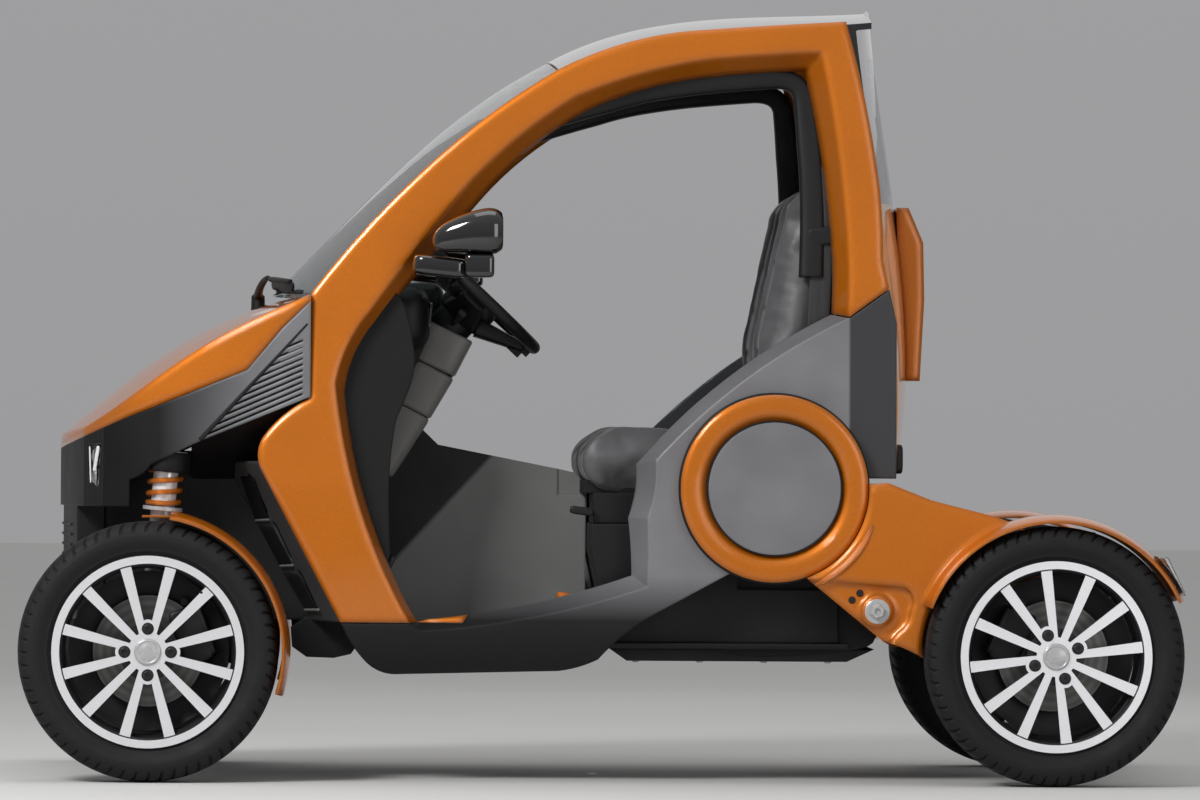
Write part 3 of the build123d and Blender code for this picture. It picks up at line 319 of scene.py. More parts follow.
def metallic_paint(base):
    """Sprayed metallic paint under clear coat: flake sparkle, faint orange peel, mirror-like coat."""
    made, tree, shader, place = finish(
        "metallic_clearcoat_paint", base, 0.36, 0.5, Coat_Weight=1.0, Coat_Roughness=0.04, Coat_IOR=1.45,
        Specular_IOR_Level=0.2,
    )
    # Flakes are under 0.1 mm; drawn at 1.4 mm so that they show
    flake = add(tree, "TexVoronoi", {"Vector": place, "Scale": per_metre(1.4)})
    cloud = add(tree, "TexNoise", {"Vector": place, "Scale": per_metre(260.0), "Detail": 3.0})
    mixed = add(tree, "Math", {0: flake.outputs["Color"], 1: cloud.outputs["Fac"]}, operation="MULTIPLY")
    ends = {"Factor": mixed.outputs[0], "A": scaled(base, 0.86), "B": scaled(base, 1.35)}
    tone = add(tree, "Mix", ends, data_type="RGBA")
    peel = add(tree, "TexNoise", {"Vector": place, "Scale": per_metre(7.0), "Detail": 1.0})
    soft = add(tree, "Bevel", {"Radius": 0.026}, samples=8).outputs["Normal"]
    bump = add(
        tree, "Bump", {"Height": peel.outputs["Fac"], "Strength": 0.02, "Distance": 0.0004, "Normal": soft}
    )
    rough = add(tree, "MapRange", {"Value": flake.outputs["Distance"], "From Min": -0.6, "From Max": 1.9})
    connect(tree, shader, {"Base Color": tone.outputs["Result"], "Roughness": rough.outputs["Result"],
                           "Normal": soft, "Coat Normal": bump.outputs["Normal"]})
    return made


def grained_moulding(name, base, roughness, grain_mm, depth, fades=(), metallic=0.0):
    """Moulded polypropylene: spark-eroded grain in two mixed tones, which may fade along a direction."""
    made, tree, shader, place = finish(name, base, roughness, metallic, IOR=1.49, Specular_IOR_Level=0.3)
    grain = add(tree, "TexVoronoi", {"Vector": place, "Scale": per_metre(grain_mm)}, feature="SMOOTH_F1")
    fine = add(tree, "TexNoise", {"Vector": place, "Scale": per_metre(grain_mm * 0.6), "Detail": 4.0})
    cloud = add(tree, "TexNoise", {"Vector": place, "Scale": per_metre(180.0), "Detail": 2.0}).outputs["Fac"]
    height = add(tree, "Math", {0: grain.outputs["Distance"], 1: fine.outputs["Fac"]}, operation="ADD")
    soft = add(tree, "Bevel", {"Radius": 0.007}, samples=6).outputs["Normal"]
    bump = add(
        tree, "Bump", {"Height": height.outputs[0], "Strength": depth, "Distance": 0.0006, "Normal": soft}
    )
    mixed = add(tree, "Math", {0: fine.outputs["Fac"], 1: cloud}, operation="MULTIPLY").outputs[0]
    share = add(tree, "MapRange", {"Value": mixed, "From Min": 0.1, "From Max": 0.45}).outputs["Result"]
    ends = {"Factor": share, "A": scaled(base, 0.82), "B": scaled(base, 1.18)}
    tone = add(tree, "Mix", ends, data_type="RGBA").outputs["Result"]
    # Each fade mixes the tone towards a colour along a direction; the nose's, the sill foot's and the tunnel
    # front's fades are painted shade
    for way, start, end, colour in fades:
        along = add(tree, "VectorMath", {0: place, 1: way}, operation="DOT_PRODUCT").outputs["Value"]
        share = add(tree, "MapRange", {"Value": along, "From Min": start, "From Max": end}).outputs["Result"]
        ends = {"Factor": share, "A": tone, "B": colour}
        tone = add(tree, "Mix", ends, data_type="RGBA").outputs["Result"]
    rough = add(tree, "MapRange", {"Value": cloud, "From Min": -roughness, "From Max": 2.0 - roughness})
    connect(tree, shader, {"Base Color": tone, "Roughness": rough.outputs["Result"],
                           "Normal": bump.outputs["Normal"]})
    return made


def gloss_moulding(base):
    """Piano-black acrylic: deep, mirror-like, with faint wiping marks in its gloss."""
    made, tree, shader, place = finish(
        "gloss_black_acrylic", base, 0.07, 0.0, Coat_Weight=1.0, Coat_Roughness=0.02
    )
    wipe = add(tree, "TexNoise", {"Vector": place, "Scale": per_metre(60.0), "Detail": 6.0})
    rough = add(tree, "MapRange", {"Value": wipe.outputs["Fac"], "From Min": -0.6, "From Max": 9.0})
    connect(tree, shader, {"Roughness": rough.outputs["Result"]})
    return made


def coated_steel(name, base, roughness):
    """Dipped or sprayed steel: even satin coat with slight unevenness."""
    made, tree, shader, place = finish(name, base, roughness, 0.25)
    skin = add(tree, "TexNoise", {"Vector": place, "Scale": per_metre(5.0), "Detail": 4.0})
    bump = add(tree, "Bump", {"Height": skin.outputs["Fac"], "Strength": 0.12, "Distance": 0.0005})
    ends = {"Factor": skin.outputs["Fac"], "A": scaled(base, 0.75), "B": scaled(base, 1.25)}
    tone = add(tree, "Mix", ends, data_type="RGBA")
    connect(tree, shader, {"Base Color": tone.outputs["Result"], "Normal": bump.outputs["Normal"]})
    return made


def turned_steel(name, base, centre):
    """Turned bare steel: rings about an axle along Y, bright and dark, with a film of darker dust."""
    made, tree, shader, place = finish(name, base, 0.34, 1.0)
    moved = add(tree, "Mapping", {"Vector": place, "Location": (-centre[0], 0, -centre[2])})
    rings = add(
        tree, "TexWave", {"Vector": moved.outputs[0], "Scale": per_metre(3.0) / 20, "Distortion": 0.4},
        wave_type="RINGS", rings_direction="Y",
    )
    dust = add(tree, "TexNoise", {"Vector": place, "Scale": per_metre(30.0), "Detail": 5.0})
    mixed = add(tree, "Math", {0: rings.outputs["Fac"], 1: dust.outputs["Fac"]}, operation="MULTIPLY")
    ends = {"Factor": mixed.outputs[0], "A": scaled(base, 0.55), "B": base}
    tone = add(tree, "Mix", ends, data_type="RGBA")
    bump = add(tree, "Bump", {"Height": rings.outputs["Fac"], "Strength": 0.15, "Distance": 0.0003})
    connect(tree, shader, {"Base Color": tone.outputs["Result"], "Normal": bump.outputs["Normal"]})
    return made


def machined_alloy(silver, black):
    """Cast alloy wheel: outward faces diamond-turned bright, pockets and back in satin black paint."""
    made, tree, shader, place = finish("machined_alloy", silver, 0.28, 0.0)
    normal = add(tree, "TexCoord").outputs["Normal"]
    split = add(tree, "SeparateXYZ", {"Vector": normal})
    facing = add(tree, "Math", {0: split.outputs["Y"]}, operation="ABSOLUTE")
    where = add(tree, "SeparateXYZ", {"Vector": place})
    outward = add(tree, "Math", {0: where.outputs["Y"]}, operation="ABSOLUTE")
    flat = add(tree, "Math", {0: facing.outputs[0], 1: 0.93}, operation="GREATER_THAN")
    outer = add(tree, "Math", {0: outward.outputs[0], 1: 0.652}, operation="GREATER_THAN")
    face = add(tree, "Math", {0: flat.outputs[0], 1: outer.outputs[0]}, operation="MULTIPLY").outputs[0]
    # Turning marks are 0.2 mm apart; drawn at 1.5 mm so that they show
    marks = add(tree, "TexNoise", {"Vector": place, "Scale": per_metre(1.5), "Detail": 2.0}).outputs["Fac"]
    ends = {"Factor": marks, "A": scaled(silver, 0.88), "B": scaled(silver, 1.05)}
    bright = add(tree, "Mix", ends, data_type="RGBA").outputs["Result"]
    tone = add(tree, "Mix", {"Factor": face, "A": black, "B": bright}, data_type="RGBA")
    metal = add(tree, "MapRange", {"Value": face, "From Min": -0.02, "From Max": 1.35})
    rough = add(tree, "MapRange", {"Value": marks, "From Min": -1.0, "From Max": 3.2})
    connect(tree, shader, {"Base Color": tone.outputs["Result"], "Metallic": metal.outputs["Result"],
                           "Roughness": rough.outputs["Result"]})
    return made


def tyre_rubber(base):
    """Vulcanised rubber: deep grey, dull, dusty in patches, with a fine grain."""
    made, tree, shader, place = finish(
        "vulcanised_rubber", base, 0.72, 0.0, IOR=1.52, Specular_IOR_Level=0.25
    )
    dust = add(tree, "TexNoise", {"Vector": place, "Scale": per_metre(45.0), "Detail": 6.0}).outputs["Fac"]
    grain = add(tree, "TexNoise", {"Vector": place, "Scale": per_metre(2.0), "Detail": 3.0})
    tone = add(tree, "Mix", {"Factor": dust, "A": scaled(base, 0.75), "B": scaled(base, 1.35)},
               data_type="RGBA")
    bump = add(tree, "Bump", {"Height": grain.outputs["Fac"], "Strength": 0.2, "Distance": 0.0005})
    rough = add(tree, "MapRange", {"Value": dust, "From Min": -1.2, "From Max": 1.3})
    connect(tree, shader, {"Base Color": tone.outputs["Result"], "Roughness": rough.outputs["Result"],
                           "Normal": bump.outputs["Normal"]})
    return made


def clear_glass(name, tint, roughness=0.0):
    """Tinted laminated glass or clear polycarbonate: smooth, with a faint film of dust."""
    made, tree, shader, place = finish(name, tint, roughness, 0.0, Transmission_Weight=1.0, IOR=1.45)
    dust = add(tree, "TexNoise", {"Vector": place, "Scale": per_metre(90.0), "Detail": 5.0})
    rough = add(tree, "MapRange", {"Value": dust.outputs["Fac"], "From Min": 0.2, "From Max": 12.0})
    connect(tree, shader, {"Roughness": rough.outputs["Result"]})
    return made


def grained_leather(base):
    """Coated seat leather: pebbled grain of 3.2 mm, soft sheen, darker in the sewn seams."""
    made, tree, shader, place = finish("grained_leather", base, 0.5, 0.0, Sheen_Weight=0.15)
    pebble = add(tree, "TexVoronoi", {"Vector": place, "Scale": per_metre(3.2)}, feature="SMOOTH_F1")
    crease = add(tree, "TexNoise", {"Vector": place, "Scale": per_metre(40.0), "Detail": 6.0}).outputs["Fac"]
    seam = add(tree, "Attribute", attribute_name="seam").outputs["Fac"]
    height = add(tree, "Math", {0: pebble.outputs["Distance"], 1: crease}, operation="ADD")
    bump = add(tree, "Bump", {"Height": height.outputs[0], "Strength": 0.25, "Distance": 0.0008})
    ends = {"Factor": crease, "A": scaled(base, 0.75), "B": scaled(base, 1.3)}
    worn = add(tree, "Mix", ends, data_type="RGBA").outputs["Result"]
    tone = add(tree, "Mix", {"Factor": seam, "A": worn, "B": scaled(base, 0.35)}, data_type="RGBA")
    rough = add(tree, "MapRange", {"Value": crease, "From Min": -0.9, "From Max": 1.9})
    connect(tree, shader, {"Base Color": tone.outputs["Result"], "Roughness": rough.outputs["Result"],
                           "Normal": bump.outputs["Normal"]})
    return made


def woven_webbing(base):
    """Woven polyester belt: fine ribs along it, drawn at 3 mm so that they show."""
    made, tree, shader, place = finish("woven_webbing", base, 0.62, 0.0, Sheen_Weight=0.25)
    weave = add(tree, "TexWave", {"Vector": place, "Scale": per_metre(3.0) / 20, "Distortion": 0.6})
    bump = add(tree, "Bump", {"Height": weave.outputs["Fac"], "Strength": 0.3, "Distance": 0.0005})
    ends = {"Factor": weave.outputs["Fac"], "A": scaled(base, 0.7), "B": scaled(base, 1.3)}
    tone = add(tree, "Mix", ends, data_type="RGBA")
    connect(tree, shader, {"Base Color": tone.outputs["Result"], "Normal": bump.outputs["Normal"]})
    return made


def tail_reflection_finish(paint, black):
    """Tailgate skin: body paint lightened to peach below the window as a painted reflection, gloss black round the
    glass.
    """
    made, tree, shader, place = finish(
        "tailgate_paint", paint, 0.3, 0.3, Coat_Weight=1.0, Coat_Roughness=0.04
    )
    height = add(tree, "SeparateXYZ", {"Vector": place}).outputs["Z"]
    above = add(tree, "Math", {0: height, 1: 1.262}, operation="GREATER_THAN").outputs[0]
    cloud = add(tree, "TexNoise", {"Vector": place, "Scale": per_metre(260.0), "Detail": 3.0})
    ends = {"Factor": cloud.outputs["Fac"], "A": scaled(paint, 0.8), "B": scaled(paint, 1.15)}
    skin = add(tree, "Mix", ends, data_type="RGBA").outputs["Result"]
    tone = add(tree, "Mix", {"Factor": above, "A": skin, "B": black}, data_type="RGBA")
    connect(tree, shader, {"Base Color": tone.outputs["Result"]})
    return made


def finishes():
    """Every finish of the car, made once."""
    shown = colours()
    orange, grey, black = tuple(shown.orange), tuple(shown.grey), tuple(shown.black)
    gloss, silver, rubber = tuple(shown.gloss), tuple(shown.silver), tuple(shown.rubber)
    front, rear = (wheel_middle(w) for w in ("front_left", "rear_left"))
    steel = linear("#7C7B7A")
    return {
        "orange_paint": metallic_paint(orange),
        "grey_moulding": grained_moulding("grained_grey_moulding", grey, 0.38, 2.2, 0.18, (), 0.35),
        # Side grey turns near-black below Z = 0.45 as painted shade on the sill's downward-tilted face; behind X =
        # -0.535 it turns a darker grey
        "side_moulding": grained_moulding("grained_side_moulding", grey, 0.38, 2.2, 0.18,
                                          (((0, 0, 1), 0.45, 0.35, linear("#1C1C1D")),
                                           ((1, 0, 0), -0.532, -0.538, linear("#3A3A3C"))), 0.35),
        # Nose grey turns black towards the front: painted shade on the nose's forward- and down-facing side
        "nose_moulding": grained_moulding("grained_nose_moulding", grey, 0.38, 2.2, 0.18,
                                          (((1, 0, 0), 0.70, 0.96, black),), 0.3),
        "panel_moulding": grained_moulding("grained_panel_moulding", linear("#3E3E3F"), 0.5, 2.6, 0.3),
        "column_moulding": grained_moulding("grained_column_moulding", linear("#706F6C"), 0.45, 2.2, 0.22),
        # Tunnel grey turns black across a slanted line at its front: painted shadow of the dashboard
        "tunnel_moulding": grained_moulding("grained_tunnel_moulding", linear("#747473"), 0.5, 2.6, 0.3,
                                            (((1, 0, 0.924), 0.876, 0.890, black),)),
        # Near-black, darker than the black mouldings: painted shade for pieces that sit in shadow
        "liner": grained_moulding("grained_black_liner", linear("#070708"), 0.7, 2.6, 0.3),
        "black_plastic": grained_moulding("grained_black_moulding", black, 0.55, 2.6, 0.3),
        "gloss_black": gloss_moulding(gloss),
        "black_steel": coated_steel("dipped_black_steel", linear("#18181A"), 0.45),
        "bare_steel": coated_steel("zinc_plated_steel", linear("#A9A9AA"), 0.32),
        "disc_front": turned_steel("turned_disc_front", steel, front),
        "disc_rear": turned_steel("turned_disc_rear", steel, rear),
        "alloy": machined_alloy(silver, linear("#0E0E0F")),
        "tyre_rubber": tyre_rubber(rubber),
        "tinted_glass": clear_glass("tinted_laminated_glass", tuple(shown.glass)),
        "lamp_lens": clear_glass("clear_polycarbonate", linear("#F2F4F5")),
        "seat_cover": grained_leather(tuple(shown.leather)),
        "webbing": woven_webbing(linear("#1A1A1B")),
        # Peach: the body paint lightened as a painted reflection
        "tail": tail_reflection_finish(linear("#DA9A62"), gloss),
        "reflector": coated_steel("metallised_reflector", linear("#E2E2E4"), 0.12),
        "mirror_glass": coated_steel("silvered_mirror_glass", linear("#DDE2E6"), 0.03),
    }


FINISHES = {}


def wheel_middle(wheel):
    """Middle of a wheel, from its tyre's box."""
    low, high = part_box(f"tyre_{wheel}")
    return np.array((low + high) / 2)


def mirrored_shape(shape):
    """The same shape on the car's other side."""
    points, faces = shape
    return points * [1, -1, 1], faces[:, ::-1]


def nose_side(x):
    """Half width of the nose at a place along it: it curves in with X squared."""
    return 0.556 - 0.40 * (x - 0.634) ** 2


def both(shape):
    """A shape on the left and its twin on the right."""
    return joined([shape, mirrored_shape(shape)])


# CAD pieces whose finish is more than their record's slot
OWN_FINISH = {
    "tail_panel": "tail",
    "nose_panels": "nose_moulding",
    "steering_column": "black_plastic",
    "wheel_well_panels": "panel_moulding",
    "side_moulding_left": "side_moulding",
    "side_moulding_right": "side_moulding",
    "centre_tunnel": "tunnel_moulding",
}


class CAR_OT_finishes(bpy.types.Operator):
    """Makes the car's materials and gives each CAD piece its own"""

    bl_idname = "car.finishes"
    bl_label = "Finishes"

    def execute(self, context):
        FINISHES.update(finishes())
        for row in frame["record"]["subparts"]:
            node = row["node"]
            chosen = row["material_slot"]
            if node.startswith("brake_disc"):
                chosen = "disc_front" if "front" in node else "disc_rear"
            chosen = OWN_FINISH.get(node, chosen)
            mesh = nodes[node].data
            mesh.materials.clear()
            mesh.materials.append(FINISHES[chosen])
        return {"FINISHED"}


class CAR_OT_tyres(bpy.types.Operator):
    """Tyres with grooved tread and ribbed sidewalls"""

    bl_idname = "car.tyres"
    bl_label = "Tyres"

    def execute(self, context):
        # Half section in millimetres, rows of (distance from the middle plane, height below the tread)
        half = [(66.6, 90.6), (66.6, 74), (74, 59), (82, 42), (80.5, 24), (74, 10), (60, 2.5), (30, 0.3),
                (0, 0)]
        line = rounded(half, 3)
        line = np.concatenate([line[:-1], line[::-1] * [-1, 1]])
        run = np.concatenate([[0], np.cumsum(np.linalg.norm(np.diff(line, axis=0), axis=1))])
        walls = run[np.abs(line[:, 0]) <= 80][[0, -1]]
        spots = np.concatenate([np.linspace(0, walls[0] + 60, 26)[:-1],
                                np.linspace(walls[0] + 60, run[-1] - walls[0] - 60, 74)[:-1],
                                np.linspace(run[-1] - walls[0] - 60, run[-1], 26)])
        across = np.interp(spots, run, line[:, 0])
        below = np.interp(spots, run, line[:, 1])
        pitches = sizes().tread_pitches
        segments = pitches * 12
        turn = np.linspace(0, 2 * np.pi, segments, endpoint=False)
        for wheel in WHEELS:
            side = SIDES[wheel.split("_")[1]]
            middle = wheel_middle(wheel)
            radius = (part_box(f"tyre_{wheel}")[1].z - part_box(f"tyre_{wheel}")[0].z) / 2 * 1000
            y = np.broadcast_to(across, (segments, len(across)))
            drop = np.broadcast_to(below, y.shape)
            depth = sizes().tread_depth * 1000 * tread(turn, y, drop, pitches)
            rib = 1.4 * np.exp(-((drop - 64) / 2.2) ** 2) + 0.8 * np.exp(-((drop - 30) / 1.5) ** 2)
            rib += 0.5 * ((drop > 34) & (drop < 44)) * (np.sin(turn * 240)[:, None] > 0)
            r = (radius - drop - depth) / 1000
            out = (y + np.sign(y) * rib) / 1000 * side
            points = middle + np.stack([r * np.cos(turn)[:, None], out, r * np.sin(turn)[:, None]], -1)
            shape = points.reshape(-1, 3), grid_faces(segments, len(across), True, True)
            name = f"tyre_tread_{wheel}"
            made = piece(name, shape, f"wheel_{wheel}", "tyre_rubber", sharp=32)
            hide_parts(f"tyre_{wheel}")
        return {"FINISHED"}


def tread(turn, y, drop, pitches):
    """Groove depth from 0 to 1: three rings round the tyre, slanted cuts in the ribs and shoulders."""

    def cut(distance, width):
        return np.clip((width / 2 - np.abs(distance)) / 1.2 + 0.5, 0, 1)

    pitch = 2 * np.pi * TYRE_RADIUS_MM / pitches
    around = turn[:, None] * TYRE_RADIUS_MM
    rings = sum(cut(y - place, 8.0) for place in (-34.0, 0.0, 34.0))
    lean = around + 0.45 * np.abs(y)
    shoulder = cut((lean + pitch / 2) % pitch - pitch / 2, 6.0) * (np.abs(y) > 40) * (drop < 21)
    sipe = 0.7 * cut((lean + pitch / 4) % pitch - pitch / 2, 3.2) * (np.abs(y) < 31)
    return np.clip(np.maximum(np.maximum(rings, shoulder), sipe), 0, 1) * np.clip((24 - drop) / 3, 0, 1)


class CAR_OT_wheel_fittings(bpy.types.Operator):
    """Lugs, centre caps, valves, brake calipers and shields"""

    bl_idname = "car.wheel_fittings"
    bl_label = "Wheel fittings"

    def execute(self, context):
        cap = rounded([(-0.006, 0.0002), (-0.006, 0.0295), (0.004, 0.0295), (0.0065, 0.024), (0.0045, 0.022),
                       (0.0075, 0.012), (0.008, 0.0002)], 2)
        nut = [(-0.004, 0.0002), (-0.004, 0.0132), (0.0008, 0.0132), (0.0010, 0.0100), (0.0045, 0.0092),
               (0.0058, 0.0080), (0.0058, 0.0052), (0.002, 0.0045), (0.002, 0.0002)]
        stem = rounded([(-0.012, 0.0002), (-0.012, 0.0045), (0.004, 0.004), (0.006, 0.0036), (0.016, 0.0036),
                        (0.017, 0.0002)], 1)
        shield = [(-0.060, 0.050), (-0.060, 0.150), (-0.052, 0.173), (-0.046, 0.173), (-0.056, 0.149),
                  (-0.057, 0.050)]
        for wheel in WHEELS:
            end, hand = wheel.split("_")
            side = SIDES[hand]
            face = wheel_middle(wheel) + [0, side * 0.072, 0]
            body = f"wheel_{wheel}"
            outward = (0, side, 0)
            spin = np.radians(np.arange(4) * 90 - side * LUG_TURN[end])
            reach = sizes().lug_circle / 2
            spots = face + reach * np.stack([np.cos(spin), 0 * spin, np.sin(spin)], 1)
            lugs = [lathe(nut, spot, outward, 24, False) for spot in spots]
            piece(f"wheel_lugs_{wheel}", joined(lugs), body, "black_steel")
            piece(f"centre_cap_{wheel}", lathe(cap, face, outward, 48, False), body, "alloy", "bare_steel")
            valve = face + [0.172 * np.cos(2.3), -side * 0.016, 0.172 * np.sin(2.3)]
            piece(f"valve_{wheel}", lathe(stem, valve, outward, 16, False), body, look="tyre_rubber")
            holder = f"steer_{hand}" if end == "front" else "cabin"
            self.caliper(wheel, side, end, holder)
            ring = lathe(shield, wheel_middle(wheel), outward, 64)
            piece(f"brake_shield_{wheel}", ring, holder, "black_steel")
        return {"FINISHED"}

    def caliper(self, wheel, side, end, holder):
        """Caliper body over the disc's edge, with its two slide pins and a bracket towards the hub."""
        middle = wheel_middle(wheel) + [0, -side * 0.034, 0]
        lean = 160 if end == "front" else 25
        turn = turned(-lean, "Y")
        shapes = [
            pillow((0.098, side * 0.021, 0), (0.034, 0.012, 0.062), 0.3),
            pillow((0.098, -side * 0.026, 0), (0.036, 0.016, 0.066), 0.3),
            pillow((0.131, -side * 0.002, 0), (0.0075, 0.035, 0.058), 0.3),
            pillow((0.074, -side * 0.030, 0.0), (0.040, 0.008, 0.022), 0.3),
        ]
        shapes += [lathe([(0, 0.0002), (0, 0.008), (0.05, 0.008), (0.05, 0.0002)],
                         (0.108, -side * 0.045, z), (0, side, 0), 16, False) for z in (-0.074, 0.074)]
        points, faces = joined(shapes)
        shape = points @ turn.T + middle, faces
        piece(f"brake_caliper_{wheel}", shape, holder, "black_steel")


class CAR_OT_springs(bpy.types.Operator):
    """Coil springs on the struts, and the sleeves inside them"""

    bl_idname = "car.springs"
    bl_label = "Springs"

    def execute(self, context):
        wire = sizes().spring_wire / 2
        for hand, side in SIDES.items():
            low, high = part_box(f"spring_{hand}")
            joint = next(j for j in frame["joints"] if j["name"] == f"steer_{hand}")
            axis = np.array(joint["axis"]) / np.linalg.norm(joint["axis"])
            foot = np.array(joint["pos_m"])
            start = (low.z - foot[2]) / axis[2] + 0.010
            end = (high.z - foot[2]) / axis[2] - 0.010
            t = np.linspace(0, 1, 321)
            angle = t * sizes().spring_turns * 2 * np.pi
            rise = start + (end - start) * np.clip((t - 0.06) / 0.88, 0, 1)
            across = np.cross((0, 1, 0), axis)
            ring = np.cos(angle)[:, None] * across + side * np.sin(angle)[:, None] * np.array([0, 1, 0])
            reach = 0.040 - wire
            path = foot + rise[:, None] * axis + reach * ring
            shape = tube(path, (wire, wire), axis, 14)
            made = piece(f"coil_spring_{hand}", shape, f"steer_{hand}", "orange_paint", sharp=60)
            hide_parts(f"spring_{hand}")
            sleeve = [(start - 0.002, 0.0262), (start, 0.0272), (end, 0.0272), (end + 0.002, 0.0262)]
            shape = lathe(sleeve, foot, axis, 40, False)
            piece(f"strut_sleeve_{hand}", shape, f"steer_{hand}", "bare_steel", "reflector")
        return {"FINISHED"}


def swollen(source, name, swell):
    """Half of a CAD seat piece, remeshed and blown up a little as cloth, in the left place."""
    mesh = source.data.copy()
    made = bpy.data.objects.new(name, mesh)
    bpy.context.scene.collection.objects.link(made)
    work = bmesh.new()
    work.from_mesh(mesh)
    bmesh.ops.remove_doubles(work, verts=work.verts, dist=1e-5)
    everything = work.verts[:] + work.edges[:] + work.faces[:]
    bmesh.ops.bisect_plane(work, geom=everything, plane_co=(0, 0, 0), plane_no=(0, 1, 0), clear_inner=True)
    work.to_mesh(mesh)
    work.free()
    points = read_points(mesh)
    middle = (points.min(0) + points.max(0)) / 2
    inset = 1 - 2 * 0.012 / (points.max(0) - points.min(0))
    write_points(mesh, middle + (points - middle) * inset)
    apply_modifier(made, "REMESH", mode="VOXEL", voxel_size=0.006)
    apply_modifier(made, "SMOOTH", factor=0.5, iterations=14)
    before = read_points(made.data)
    cloth = made.modifiers.new("cloth", "CLOTH")
    cloth.settings.use_pressure = True
    cloth.settings.uniform_pressure_force = 4.0
    cloth.settings.effector_weights.gravity = 0.0
    cloth.settings.quality = 5
    cloth.point_cache.frame_start = 1
    cloth.point_cache.frame_end = 20
    for step in range(1, 21):
        bpy.context.scene.frame_set(step)
    posed = made.evaluated_get(bpy.context.evaluated_depsgraph_get())
    after = read_points(posed.data)
    made.modifiers.clear()
    bpy.context.scene.frame_set(1)
    move = after - before
    far = np.maximum(np.linalg.norm(move, axis=1, keepdims=True), 1e-9)
    write_points(made.data, before + move * np.minimum(1, swell / far))
    apply_modifier(made, "SMOOTH", factor=0.5, iterations=16)
    return made


def read_points(mesh):
    """All points of a mesh as an array."""
    flat = np.zeros(len(mesh.vertices) * 3, np.float32)
    mesh.vertices.foreach_get("co", flat)
    return flat.reshape(-1, 3).astype(float)


def write_points(mesh, points):
    """Sets all points of a mesh."""
    mesh.vertices.foreach_set("co", np.ascontiguousarray(points, np.float32).ravel())
    mesh.update()


def apply_modifier(made, kind, **settings):
    """Adds a modifier and applies it at once."""
    added = made.modifiers.new(kind.lower(), kind)
    for key, value in settings.items():
        setattr(added, key, value)
    with bpy.context.temp_override(object=made, active_object=made, selected_objects=[made]):
        bpy.ops.object.modifier_apply(modifier=added.name)


class CAR_OT_seats(bpy.types.Operator):
    """Padded seat cushions and backs with sewn channels"""

    bl_idname = "car.seats"
    bl_label = "Seats"

    def execute(self, context):
        seat_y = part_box("seat_cushions")[1].y - SEAT_WIDTH / 2
        for node, name in (("seat_cushions", "seat_cushion_covers"), ("seat_backs", "seat_back_covers")):
            made = swollen(nodes[node], name, sizes().seat_swell)
            apply_modifier(made, "SUBSURF", levels=1, render_levels=1)
            points = read_points(made.data)
            normals = np.zeros(len(points) * 3, np.float32)
            made.data.vertices.foreach_get("normal", normals)
            normals = normals.reshape(-1, 3)
            moved = self.sewn(node, points, normals, seat_y)
            faces = np.zeros(len(made.data.polygons) * 4, np.int32)
            made.data.polygons.foreach_get("vertices", faces)
            shape = both((moved, faces.reshape(-1, 4)))
            old = made.data
            bpy.data.objects.remove(made)
            bpy.data.meshes.remove(old)
            made = piece(name, shape, slot="seat_cover", sharp=80)
            mark = made.data.attributes.new("seam", "FLOAT", "POINT")
            spots = read_points(made.data)
            marked = self.seam_mask(node, np.abs(spots * [0, 1, 0]) + spots * [1, 0, 1], seat_y)
            mark.data.foreach_set("value", marked.astype(np.float32))
            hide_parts(node)
        return {"FINISHED"}

    def seam_distance(self, node, points, seat_y):
        """Distance to the nearest sewn line: two along the bolsters and, between them, a few across."""
        beside = np.abs(np.abs(points[:, 1] - seat_y) - BOLSTER_SEAM)
        along = points[:, 0] if node == "seat_cushions" else points[:, 2]
        rows = (-0.30, -0.18, -0.06) if node == "seat_cushions" else (0.84, 0.94, 1.04, 1.14)
        between = np.abs(points[:, 1] - seat_y) < BOLSTER_SEAM
        across = np.min(np.abs(along[:, None] - np.array(rows)), 1)
        return np.minimum(beside, np.where(between, across, 1.0))

    def seam_mask(self, node, points, seat_y):
        """1 on a seam, 0 a few millimetres beside it."""
        return np.exp(-(self.seam_distance(node, points, seat_y) / 0.0022) ** 2)

    def sewn(self, node, points, normals, seat_y):
        """Points pulled in along the seams, and the middle panel sunk between its bolsters."""
        distance = self.seam_distance(node, points, seat_y)
        beside = np.abs(points[:, 1] - seat_y)
        facing = np.clip(normals[:, 2] if node == "seat_cushions" else normals[:, 0], 0, 1)
        sunk = 0.016 * np.clip((0.15 - beside) / 0.05, 0, 1) * facing
        pull = 0.007 * np.exp(-(distance / 0.007) ** 2) * facing
        return points - normals * (sunk + pull)[:, None]


class CAR_OT_belts(bpy.types.Operator):
    """Seat belts with their upper guides and buckles"""

    bl_idname = "car.belts"
    bl_label = "Seat belts"

    def execute(self, context):
        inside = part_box("floor_tub")[1].y
        half = sizes().belt_width / 2
        route = rounded([(-0.520, inside - 0.045, 1.385), (-0.492, inside - 0.040, 1.33),
                         (-0.478, inside - 0.036, 1.15), (-0.470, inside - 0.034, 0.98),
                         (-0.470, inside - 0.034, 0.86)], 4)
        strap = tube(route, (0.0014, half), (1, 0, 0), 12, True, 0.5)
        piece("belt_webbing", both(strap), look="webbing", sharp=50)
        guide = pillow((-0.521, inside - 0.040, 1.392), (0.014, 0.016, 0.036), 0.4)
        tongue = pillow((-0.480, inside - 0.034, 1.19), (0.034, 0.007, 0.020), 0.4, turned(6, "Y"))
        stalk = pillow((-0.36, 0.026, 0.80), (0.016, 0.010, 0.060), 0.35, turned(-24, "Y"))
        piece("belt_fittings", both(joined([guide, tongue, stalk])))
        return {"FINISHED"}


